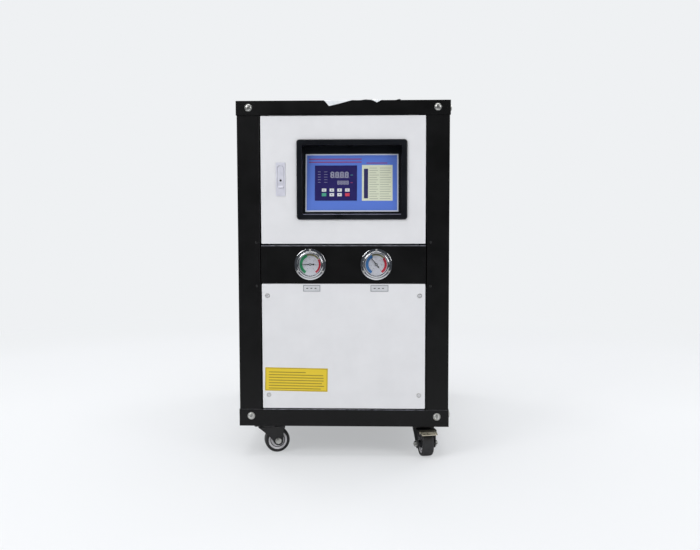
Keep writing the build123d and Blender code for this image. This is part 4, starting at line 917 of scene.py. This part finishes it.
# %% [markdown]
# ## Wheels
#
# The CAD wheel has the tyre, the dished core and the boss as plain sections. Near the floor the
# camera sees more: a tread with a rounded shoulder and a mould line round its middle, a dark
# core with two pale rings, and a plated axle with a flanged nut. Tyre and core are turned again
# from finer sections, and stand in for the CAD pieces. The four wheels point four ways, so each
# is made about Y and then turned to its caster's heading, which the CAD model's joints give.

# %% Wheel sections
joints = {joint["name"]: joint for joint in frame["joints"]}
CASTERS = {}
for name in ("front_left", "front_right", "rear_left", "rear_right"):
    x, y = joints["swivel_" + name]["pos_m"][:2]
    axle_x, axle_y = joints["roll_" + name]["axis"][:2]
    CASTERS[name] = (x / MM, y / MM, math.degrees(math.atan2(axle_y, axle_x)))
TRAIL, AXLE_Z = 29.0, joints["roll_front_left"]["pos_m"][Z] / MM


def both_ways(points):
    """Mirrors half a section in Y and closes it."""
    return points + [(r, -y) for r, y in reversed(points)] + points[:1]


tread = [(26.1, 0), (26.1, 15.2), (26.9, 15.8), (29.0, 16.0), (30.6, 15.6), (31.9, 14.6), (33.0, 12.8),
         (33.6, 10.5), (33.8, 7.0), (33.85, 1.0), (34.0, 0.35), (34.0, 0)]
core = [(4.1, 0), (4.1, 21.9), (4.5, 22.1), (8.2, 22.1), (9.0, 21.3), (9.3, 10.4), (11.2, 9.6), (16.2, 9.4),
        (17.6, 9.6), (24.8, 9.6), (25.0, 13.2), (25.4, 13.5), (26.0, 13.5), (26.0, 0)]
outer_ring = [(20.2, 9.4), (20.3, 12.6), (21.0, 13.5), (23.2, 14.0), (25.2, 13.8), (25.9, 13.1), (25.9, 9.4),
              (20.2, 9.4)]
inner_ring = [(12.6, 9.2), (12.7, 11.6), (13.4, 12.4), (15.4, 12.7), (17.4, 12.4), (18.1, 11.6), (18.2, 9.2),
              (12.6, 9.2)]
print("casters head for", {name: round(heading) for name, (x, y, heading) in CASTERS.items()})

# %% Wheels in place
ring_plastic = coated("pale grey polypropylene ring", ("#d3d1d4", "#dfdde0"), (0.28, 0.4), 1.0, 0.01, 0.2, 10)
HUB_END = 25.0


def axle_nut():
    """A flanged nut with the end of the axle, on y = 0 and pointing along +Y."""
    flange = turned([(0, 0), (8.4, 0), (8.4, 0.8), (7.9, 1.2), (0, 1.2)], 48)
    hexagon = bmesh.new()
    bmesh.ops.create_cone(hexagon, cap_ends=True, segments=6, radius1=7.7 * MM, radius2=7.7 * MM,
                          depth=5.4 * MM)
    bmesh.ops.bevel(hexagon, geom=hexagon.edges[:], offset=0.5 * MM, affect="EDGES", segments=2, profile=0.5,
                    material=-1)
    end = turned([(0, 5.6), (3.6, 5.6), (3.9, 5.9), (3.9, 7.4), (3.4, 8.0), (0, 8.0)], 24)
    return together(flange, copies(hexagon, [place(0, 3.4, 0) @ ACROSS]), end)


for name, (x, y, heading) in CASTERS.items():
    axle = place(x, y, 0, heading - 90) @ place(TRAIL, 0, AXLE_Z)
    ways = [axle, axle @ Matrix.Rotation(math.pi, 4, "X")]
    obj = piece("tyre_" + name, copies(turned(both_ways(tread), 120), [axle]), tyre_rubber, "wheel_" + name,
                50)
    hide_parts("wheel_tyre_" + name)
    obj = piece("core_" + name, copies(turned(both_ways(core), 96), [axle]), core_plastic, "wheel_" + name)
    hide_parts("wheel_core_" + name)
    rings = together(turned(outer_ring, 96), turned(inner_ring, 96))
    piece("core_rings_" + name, copies(rings, ways), ring_plastic, "wheel_" + name)
    nuts = copies(axle_nut(), [way @ place(0, HUB_END, 0) for way in ways])
    piece("axle_nuts_" + name, nuts, zinc_plate, "caster_" + name)
print("four wheels on axles", AXLE_Z, "mm up")

# %% [markdown]
# ## The fan guard
#
# A fan guard is round wire, bent into rings and welded to domed spokes. The CAD guard has
# square bars and half the rings, to stay light. Here each ring is a circle spun about the
# fan's axis, and each spoke is a circle spun along a wide arc, because the dome is part of a
# large ball. Flat feet with screws hold it to the cover.

# %% Guard
COVER_TOP = span("top_cover", Z)[1]
GUARD_R, GUARD_RISE, WIRE_R, RINGS, SPOKES = 199.0, 12.0, 1.5, 12, 8
BALL = GUARD_R ** 2 / (2 * GUARD_RISE)


def dome(radius):
    """Height of the wire's middle above the floor at a distance from the fan's axis."""
    return COVER_TOP + WIRE_R + GUARD_RISE * (1 - (radius / GUARD_R) ** 2)


def wire_circle(x, z, axis):
    """A small circle of wire at x, z, stood up by a quarter turn about an axis."""
    bm = bmesh.new()
    bmesh.ops.create_circle(bm, segments=10, radius=WIRE_R * MM,
                            matrix=place(x, 0, z) @ Matrix.Rotation(math.radians(90), 4, axis))
    return bm


rings = []
for i in range(1, RINGS + 1):
    radius = GUARD_R * i / RINGS
    bm = wire_circle(radius, dome(radius), "X")
    spin(bm, (0, 0, 1), 2 * math.pi, 96, merge=True)
    rings.append(bm)
start = GUARD_R / RINGS
bm = wire_circle(start, dome(start) - 2 * WIRE_R + 1.0, "Y")
spin(bm, (0, 1, 0), (GUARD_R - start) / BALL, 12, centre=(0, 0, (dome(0) - BALL) * MM))
bmesh.ops.holes_fill(bm, edges=bm.edges[:], sides=0)
spokes = copies(bm, [place(0, 0, 0, 360 / SPOKES * i) for i in range(SPOKES)])
guard = together(*rings, spokes)
bmesh.ops.recalc_face_normals(guard, faces=guard.faces)
obj = piece("fan_guard_wires", guard, black_coat, "cabinet", 60)
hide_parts("fan_guard")
FOOT_THICK = 1.8
feet = [place(0, 0, COVER_TOP + FOOT_THICK / 2, 22.5 + 90 * i) @ place(GUARD_R, 0, 0) for i in range(4)]
piece("guard_feet", copies(slab(26, 14, FOOT_THICK, 0.5), feet), black_coat, "cabinet")
heads = copies(screw_head(8.0, 2.0), [foot @ place(7.5, 0, FOOT_THICK / 2) @ FACING_UP for foot in feet])
piece("guard_screws", heads, zinc_plate, "cabinet")
print("guard of", len(rings), "rings on a ball of radius", round(BALL), "mm")

# %% [markdown]
# ## Painted highlights on the folds
#
# Thin pale lines run along the top fold of the gauge band and along the top edge of the base.
# There the rounded fold catches the light from above, and the pale colour is a painted highlight
# of it. Each is a rounded strip on the fold, whose colour drifts between black and pale grey in
# patches. The lower lip of the control panel's surround has the same painted highlight on its
# rounded edge, so its strip is pale, shiny plastic and swings with the door.

# %% Folds
# The pale greys of these three finishes are painted highlights, where rounded edges catch the light.
painted_highlight = coated("powder coat rubbed to the primer", ("#3a3b40", "#9a9aa6"), (0.3, 0.42), 1.1, 0.02, 0.0, 9)
dull = coated("powder coat, rubbed edge", ("#1c1c1e", "#55565a"), (0.35, 0.45), 1.1, 0.02, 0.0, 12)
polished = coated("ABS, grain rubbed smooth", ("#74758a", "#9c9db3"), (0.15, 0.25), 1.1, 0.01, 0.0, 30)
BASE_TOP = span("base_frame", Z)[1]
for name, size, (y, z), finish in (("band_fold", (436, 1.6, 1.7, 0.7), (0.3, 569.4), painted_highlight),
                                   ("base_edge", (556, 1.5, 1.1, 0.5), (-0.75, BASE_TOP + 0.1), dull),
                                   ("base_fold", (432, 1.7, 1.3, 0.5), (-0.85, BASE_TOP + 0.2), painted_highlight)):
    fold = copies(slab(*size, segments=3), [place(0, FRONT + y, z)])
    piece(name, fold, finish, "cabinet")
# The lip's pale colour is a painted highlight on the surround's rounded lower edge.
lip = copies(slab(258, 1.4, 1.4, 0.6, 3), [place(23.3, FRONT - 5.6, 652.8)])
piece("surround_lip_painted_highlight", lip, polished, "door")
print("three rubbed folds and a lip")

# %% [markdown]
# ## The fan's hub
#
# Under the guard the rotor is held on the motor's shaft by a washer and a nut, over a moulded
# hub with ribs. The washer is turned, and a nut is a hexagon whose corners are cut by a cone, as
# a real one is turned from bar. The Boolean modifier can keep only what two shapes share, so the
# hexagon is crossed with a turned barrel. These pieces turn with the fan's hub in the real
# machine, and lie still here as the CAD fan does.

# %% Nuts and hub
def hex_nut(flats, thick, bore):
    """A nut on y = 0 that faces -Y, its corners turned off."""
    bm, r = bmesh.new(), flats / math.sqrt(3)
    bmesh.ops.create_cone(bm, cap_ends=True, segments=6, radius1=r * MM, radius2=r * MM, depth=thick * MM)
    bmesh.ops.transform(bm, matrix=place(0, -thick / 2, 0) @ ACROSS, verts=bm.verts)
    barrel = turned([(bore, 1), (r + 1, 1), (r + 1, -thick + 0.12 * flats), (flats * 0.47, -thick - 0.05),
                     (bore + 0.4, -thick - 0.05), (bore, -thick + 0.4), (bore, 1)], 48)
    return cut(bm, barrel, "INTERSECT")


HUB_TOP, HUB_RIBS, HUB_WASHER = span("fan_rotor", Z)[1], 10, 1.8
hub = together(turned([(6.0, 0), (14, 0), (14, -1.4), (13.6, -HUB_WASHER), (6.0, -HUB_WASHER), (6.0, 0)], 48),
               copies(hex_nut(19, 9, 5.9), [place(0, -HUB_WASHER, 0)]),
               turned([(0, 0), (5.9, 0), (5.9, -13), (5.2, -13.8), (0, -13.8)], 32))
piece("fan_shaft_nut", copies(hub, [place(0, 0, HUB_TOP) @ FACING_UP]), zinc_plate, "cabinet")
rib_spots = [place(0, 0, HUB_TOP + 0.9, 360 / HUB_RIBS * i) @ place(28, 0, 0) for i in range(HUB_RIBS)]
piece("fan_hub_ribs", copies(slab(22, 2.4, 2.2, 0.5), rib_spots), fan_plastic, "cabinet")
print("hub nut and", HUB_RIBS, "ribs")

# %% [markdown]
# ## The coils
#
# A condenser coil is copper tube through a stack of thin aluminium fins. The CAD coil is one
# block with its end plates and header pipes. Here the fins are separate plates, 3 mm apart, and
# the tubes come out at the front in return bends and at the back into the headers. A bend is a
# circle spun through half a turn.

# %% Coils
FIN_Z, FIN_HIGH, FIN_GAP, COIL_X, COIL_WIDE = middle("condenser_coils", Z), 339.0, 3.0, 226.5, 44.0
COIL_FRONT, COIL_BACK = span("condenser_coils", Y)[0], 386.5
fin = slab(COIL_WIDE, 0.35, FIN_HIGH, 0)
count = int((COIL_BACK - COIL_FRONT - 8) / FIN_GAP)
stack = [place(COIL_X, COIL_FRONT + 4 + FIN_GAP * (i + 0.5), FIN_Z) for i in range(count)]
mirror_x = [Matrix.Identity(4), Matrix.Rotation(math.pi, 4, "Z") @ Matrix.Scale(-1, 4, (0, 1, 0))]


def both_sides(bm):
    """The shape and its mirror image on the other side of the cabinet."""
    both = copies(bm, mirror_x)
    bmesh.ops.recalc_face_normals(both, faces=both.faces)
    return both


fins = piece("coil_fins", both_sides(copies(fin, stack)), aluminium, "cabinet")
end_plate = slab(COIL_WIDE + 6, 2, FIN_HIGH + 0.6, 0.4)
end_spots = [place(COIL_X, y, FIN_Z) for y in (COIL_FRONT + 1, COIL_BACK - 1)]
ends = piece("coil_end_plates", both_sides(copies(end_plate, end_spots)), galvanised, "cabinet")

TUBE_R, ROWS, BEND_R, HEADER_Y = 3.5, [608 + 20 * i for i in range(13)], 8.0, 394.5
bend = bmesh.new()
bmesh.ops.create_circle(bend, segments=12, radius=TUBE_R * MM, matrix=place(BEND_R, 0, 0) @ ACROSS)
spin(bend, (0, 0, 1), -math.pi, 14)
bmesh.ops.recalc_face_normals(bend, faces=bend.faces)
tube = turned([(0, 0), (TUBE_R, 0), (TUBE_R, 2.5), (0, 2.5)], 12)
header_end = [(9, 127), (8.6, 129.4), (6.5, 131), (0, 131)]
header = turned([(r, -y) for r, y in reversed(header_end)] + header_end, 32)
pipes = [copies(bend, [place(COIL_X, COIL_FRONT, z) for z in ROWS]),
         copies(tube, [place(COIL_X + x, COIL_BACK - 1, z) for z in ROWS for x in (-BEND_R, BEND_R)]),
         copies(header, [place(COIL_X + x, HEADER_Y, FIN_Z) @ FACING_UP for x in (-13, 13)])]
tubes = piece("coil_tubes", both_sides(together(*pipes)), copper, "cabinet")
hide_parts("condenser_coils")
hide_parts("condenser_coils")
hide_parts("condenser_coils")
print(2 * count, "fins,", 2 * len(ROWS), "return bends")

# %% [markdown]
# ## Water sockets and the cable gland
#
# The three sockets on the back are turned from hexagonal brass and have a real internal pipe
# thread, 14 turns to the inch. A thread is a small section that is spun round the bore and
# moved along it at the same time. The gland is empty, with the flutes of its dome nut and the
# rubber bush that would grip a cable.

# %% Sockets
THREAD_PITCH, THREAD_TURNS, WATER_BORE, DRAIN_BORE = 1.814, 11, 12.1, 9.4


def thread(bore, y0, turns):
    """The ridge of an internal thread, with its crest at the bore's radius."""
    bm = bmesh.new()
    root = bore + 1.3
    line = [bm.verts.new((r * MM, (y0 + y) * MM, 0)) for r, y in
            ((root, -0.84), (bore, -0.14), (bore, 0.14), (root, 0.84))]
    for i in range(4):
        bm.edges.new((line[i], line[(i + 1) % 4]))
    steps = int(turns * 30)
    spin(bm, (0, 1, 0), 2 * math.pi * turns, steps, climb=(0, turns * THREAD_PITCH / steps * MM, 0))
    bmesh.ops.holes_fill(bm, edges=[e for e in bm.edges if len(e.link_faces) == 1], sides=4)
    bmesh.ops.recalc_face_normals(bm, faces=bm.faces)
    return bm


def socket(bore):
    """Brass socket whose hexagon stands 16 mm off the panel at y = 0, along +Y."""
    front = copies(hex_nut(36, 16, bore + 1.2), [Matrix.Rotation(math.pi, 4, "Z")])
    shank = turned([(bore + 1.2, 0.5), (17, 0.5), (17, -29), (16, -30), (bore - 3, -30), (bore - 3, -6.5),
                    (bore + 1.2, -6), (bore + 1.2, 0.5)], 72)
    locknut = copies(hex_nut(42, 6, 16.8), [place(0, -1.5, 0)])
    return together(front, shank, locknut, thread(bore, -4.6, THREAD_TURNS))


for node, bore in (("water_inlet", WATER_BORE), ("water_outlet", WATER_BORE), ("drain_port", DRAIN_BORE)):
    spot = place(middle(node, X), REAR, middle(node, Z))
    obj = piece(node + "_threaded", copies(socket(bore), [spot]), brass, "cabinet")
    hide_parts(node)
    print(node, "has", THREAD_TURNS, "turns of thread")

GLAND_X, GLAND_Z, FLUTES = middle("cable_gland", X), middle("cable_gland", Z), 24
bush = turned([(6.5, 19.6), (9.6, 19.6), (9.6, 20.2), (9.0, 20.8), (7.2, 20.8), (6.5, 20.2), (6.5, 19.6)], 48)
piece("gland_bush", copies(bush, [place(GLAND_X, REAR, GLAND_Z)]), seal_rubber, "cabinet")
flutes = [place(GLAND_X, REAR + 11.5, GLAND_Z) @ Matrix.Rotation(math.radians(360 / FLUTES * i), 4, "Y")
          @ place(0, 0, 13) for i in range(FLUTES)]
piece("gland_flutes", copies(slab(1.1, 8, 0.9, 0.3), flutes), gland_plastic, "cabinet")
print("gland with", FLUTES, "flutes")

# %% [markdown]
# ## Behind the door
#
# The door opens on the control gear. The CAD gear has the plate, the rails and plain bodies.
# This adds what a hand meets: the faces of the contactors with their buttons and screws, the
# slotted ducts that the wires run in, and the short wire ends from each screw into the duct.
# Every wire end is a quarter turn of a spun circle, held at both its ends.

# %% Contactor faces
PLATE_FRONT, UPPER_FACE, LOWER_FACE = -302.0, -370.0, -356.0
UPPER_Z, LOWER_Z, POLES = 860.2, 745.06, (-14, 0, 14)
button_grey = coated("grey polyamide, moulded", ("#b9bcc0", "#c6c9cc"), (0.4, 0.5), 1.0, 0.01, 0.3, 10)
frame_white = coated("pale grey polyamide, moulded", ("#cfd1d3", "#d9dbdc"), (0.42, 0.52), 1.0, 0.01, 0.3, 14)
units = [((i - 2.5) * 56, UPPER_FACE, UPPER_Z, 80) for i in range(6)]
units += [((i - 2) * 62, LOWER_FACE, LOWER_Z, 78) for i in range(5)]
face_spots, button_spots, screws = [], [], []
for x, y, z, high in units:
    top = z + high / 2
    face_spots.append(place(x, y - 1.0, z + 12))
    button_spots.append(place(x, y - 3.0, z + 12))
    screws += [place(x + dx, y - 0.2, top - 7) for dx in POLES]
    screws += [place(x + dx, y + 13.8, top - high + 9) for dx in POLES]
ridges = copies(slab(38, 1.2, 1.4, 0.3), [place(0, -1.2, z) for z in (-13, -10, 10, 13)])
face = together(slab(38, 2.4, 34, 0.8), ridges)
piece("contactor_faces", copies(face, face_spots), frame_white, "cabinet")
buttons = copies(slab(12, 2.4, 15, 0.8), button_spots)
piece("contactor_buttons", buttons, button_grey, "cabinet")
print(len(units), "contactors")

# %% Ducts and terminals
duct_plastic = coated("grey rigid vinyl duct", ("#9a9da1", "#a6a9ac"), (0.42, 0.52), 1.0, 0.01, 0.2, 20)
DUCTS, DUCT_LONG, DUCT_HIGH, DUCT_DEEP, FINGERS, FINGER_GAP = (802.0, 686.0), 350, 28.0, 38.0, 39, 9.0
fingers, parts = [FINGER_GAP * (i - FINGERS // 2) for i in range(FINGERS)], []
for z in DUCTS:
    lid, back = slab(DUCT_LONG + 2, 1.6, DUCT_HIGH + 1.6, 0.5), slab(DUCT_LONG, 1.4, DUCT_HIGH, 0)
    parts.append(copies(lid, [place(0, PLATE_FRONT - DUCT_DEEP - 0.8, z)]))
    parts.append(copies(back, [place(0, PLATE_FRONT - 0.8, z)]))
    finger_spots = [place(x, PLATE_FRONT - DUCT_DEEP / 2, z + way * (DUCT_HIGH / 2 - 0.7))
                    for x in fingers for way in (-1, 1)]
    parts.append(copies(slab(5.0, DUCT_DEEP, 1.4, 0), finger_spots))
piece("wiring_ducts", together(*parts), duct_plastic, "cabinet")

TERMINALS, TERMINAL_Z, TERMINAL_FACE = [(i - 7.5) * 22 for i in range(16)], 639.8, -342.2
FIRST_BLUE, FIRST_GREEN = 10, 13
for x in TERMINALS:
    screws += [place(x, TERMINAL_FACE, TERMINAL_Z + dz) for dz in (16, -16)]
piece("terminal_screws", copies(screw_head(5.4, 1.6), screws), zinc_plate, "cabinet")
polyamides = {"grey": button_grey, "blue": printed("blue polyamide", "#3f73b5", 0.45),
              "green": printed("green polyamide", "#4f9a54", 0.45)}
groups = TERMINALS[:FIRST_BLUE], TERMINALS[FIRST_BLUE:FIRST_GREEN], TERMINALS[FIRST_GREEN:]
for (name, finish), chosen in zip(polyamides.items(), groups):
    tops = copies(slab(19, 1.6, 9, 0.4), [place(x, TERMINAL_FACE - 0.4, TERMINAL_Z) for x in chosen])
    piece("terminal_tops_" + name, tops, finish, "cabinet")
print(len(screws), "terminal screws,", len(TERMINALS), "terminals")

# %% Wire ends
def wire_end(radius, bend_r, up):
    """A quarter turn of wire, from straight up or down at y = 0 to level along +Y."""
    bm = bmesh.new()
    bmesh.ops.create_circle(bm, segments=8, radius=radius * MM, cap_ends=False)
    spin(bm, (1, 0, 0), (-1 if up else 1) * math.pi / 2, 8, centre=(0, bend_r * MM, 0))
    bmesh.ops.holes_fill(bm, edges=[e for e in bm.edges if len(e.link_faces) == 1], sides=8)
    bmesh.ops.recalc_face_normals(bm, faces=bm.faces)
    return bm


CORE_R, CORE_BEND = 1.5, 12
down, upwards = wire_end(CORE_R, CORE_BEND, False), wire_end(CORE_R, CORE_BEND, True)
runs = {"black": [], "red": [], "blue": []}
for x, y, z, high in units:
    for dx, colour in zip(POLES, runs):
        runs[colour].append((down, place(x + dx, y + 12.5, z - high / 2 + 2.5)))
        if z == LOWER_Z:
            runs[colour].append((upwards, place(x + dx, y + 3.0, z + high / 2 - 2.5)))
for i, x in enumerate(TERMINALS):
    colour = "black" if i < FIRST_BLUE else "blue" if i < FIRST_GREEN else "red"
    runs[colour].append((upwards, place(x, TERMINAL_FACE + 4.2, TERMINAL_Z + 24.0)))
for colour, code in (("black", "#131314"), ("red", "#b3242c"), ("blue", "#2d5fae")):
    wires = together(*[copies(shape.copy(), [matrix]) for shape, matrix in runs[colour]])
    vinyl = printed("vinyl insulation, " + colour, code, 0.4)
    piece("wire_ends_" + colour, wires, vinyl, "cabinet")
down.free()
upwards.free()
print("wire ends:", {colour: len(found) for colour, found in runs.items()})

# %% [markdown]
# ## The door's seal
#
# A foam strip on the lip of each post is what the door closes against. It is glued down, black,
# and rounded where the door presses it.

# %% Seal
SEAL_LONG, SEAL_X, SEAL_Y, SEAL_Z = 330, 211, -430.8, middle("door_panel", Z)
seals = copies(slab(12, 5.2, SEAL_LONG, 1.6, 3), [place(way * SEAL_X, SEAL_Y, SEAL_Z) for way in (-1, 1)])
piece("door_seals", seals, seal_rubber, "cabinet")
print("two strips,", SEAL_LONG, "mm long")

# %% [markdown]
# ## Bolts under the base
#
# Each caster's plate is held by four bolts with hexagon heads, up through the plate into the
# base.

# %% Caster bolts
HEAD_Z, BOLT_X, BOLT_Y = 81.1, 23.5, 30.5
bolt = together(hex_nut(10, 3.4, 0.0), turned([(0, 0), (6.2, 0), (6.2, -0.9), (0, -0.9)], 32))
heads = [place(x + dx, y + dy, HEAD_Z) @ ACROSS
         for x, y, heading in CASTERS.values() for dx in (-BOLT_X, BOLT_X) for dy in (-BOLT_Y, BOLT_Y)]
piece("caster_bolts", copies(bolt, heads), black_steel, "cabinet")
print(len(heads), "bolts")

# %% [markdown]
# ## A scrap of packing film
#
# In the photograph a torn piece of milky film lies on the cover. Two corners hang over the front
# edge, and creases rise above it. The torn outline is drawn flat, sliced by planes every few
# millimetres so that it can bend, and folded over the edge: what reaches past the fold turns
# down. Creases are low bumps in the part that lies on the cover.

# %% Film
FOLD_Y, FOLD_Z, FOLD_R = COVER_FRONT - 0.3, COVER_TOP + 0.4, 1.0
FILM_THICK, CREASE_DEEP = 0.1, 7
torn = ((-50.6, 0), (-44, -6.5), (-36.3, -15.9), (-8, -9.4), (26.6, 0), (31, 3), (47, 4), (52, 1.2),
        (71, 1.6), (76, 0), (89.2, -7.2), (102, 0), (106, 6), (134, 8), (140, 1.6), (152, 2.4), (150, 17),
        (128, 29), (96, 24), (71, 35), (44, 29), (12, 41), (-16, 33), (-37, 37), (-61, 21), (-56, 9))
creases = ((60, 3, 9, 1.7), (84, 3, 11, 2.2), (147, 3, 5, 2.4), (-40, 12, 12, 1.4), (10, 18, 20, 1.8),
           (110, 16, 14, 1.5))
cuts = [((-60 + 3 * i, 0, 0), (1, 0, 0)) for i in range(72)]
cuts += [((0, y, 0), (0, 1, 0)) for y in [-15 + 1.5 * i for i in range(14)] + [8 + 3 * i for i in range(12)]]
bm = bmesh.new()
bm.faces.new([bm.verts.new((x * MM, y * MM, 0)) for x, y in torn])
for point, across in cuts:
    bmesh.ops.bisect_plane(bm, geom=bm.verts[:] + bm.edges[:] + bm.faces[:],
                           plane_co=[c * MM for c in point], plane_no=across)
flat_area = sum(face.calc_area() for face in bm.faces)
for v in bm.verts:
    x, s = v.co.x / MM, v.co.y / MM
    bumps = [h * math.exp(-((x - cx) / w) ** 2 - ((s - cy) / CREASE_DEEP) ** 2) for cx, cy, w, h in creases]
    lift = sum(bumps) if s > 0 else 0.0
    turn = min(max(-s, 0.0) / FOLD_R, math.pi / 2)
    v.co.y = (FOLD_Y + max(s, 0.0) - FOLD_R * math.sin(turn)) * MM
    v.co.z = (FOLD_Z + lift - FOLD_R * (1 - math.cos(turn)) - max(0.0, -s - FOLD_R * math.pi / 2)) * MM
bm.normal_update()
bmesh.ops.solidify(bm, geom=bm.faces[:], thickness=FILM_THICK * MM)
bmesh.ops.recalc_face_normals(bm, faces=bm.faces)
film = coated("milky polyethylene film", ("#dfe3e6", "#edf0f2"), (0.25, 0.4), 4.0, 0.1, 0.0, 12)
scrap = piece("film_scrap", bm, film, "cabinet", 60)
print("film of", round(flat_area * 1e6), "square millimetres")
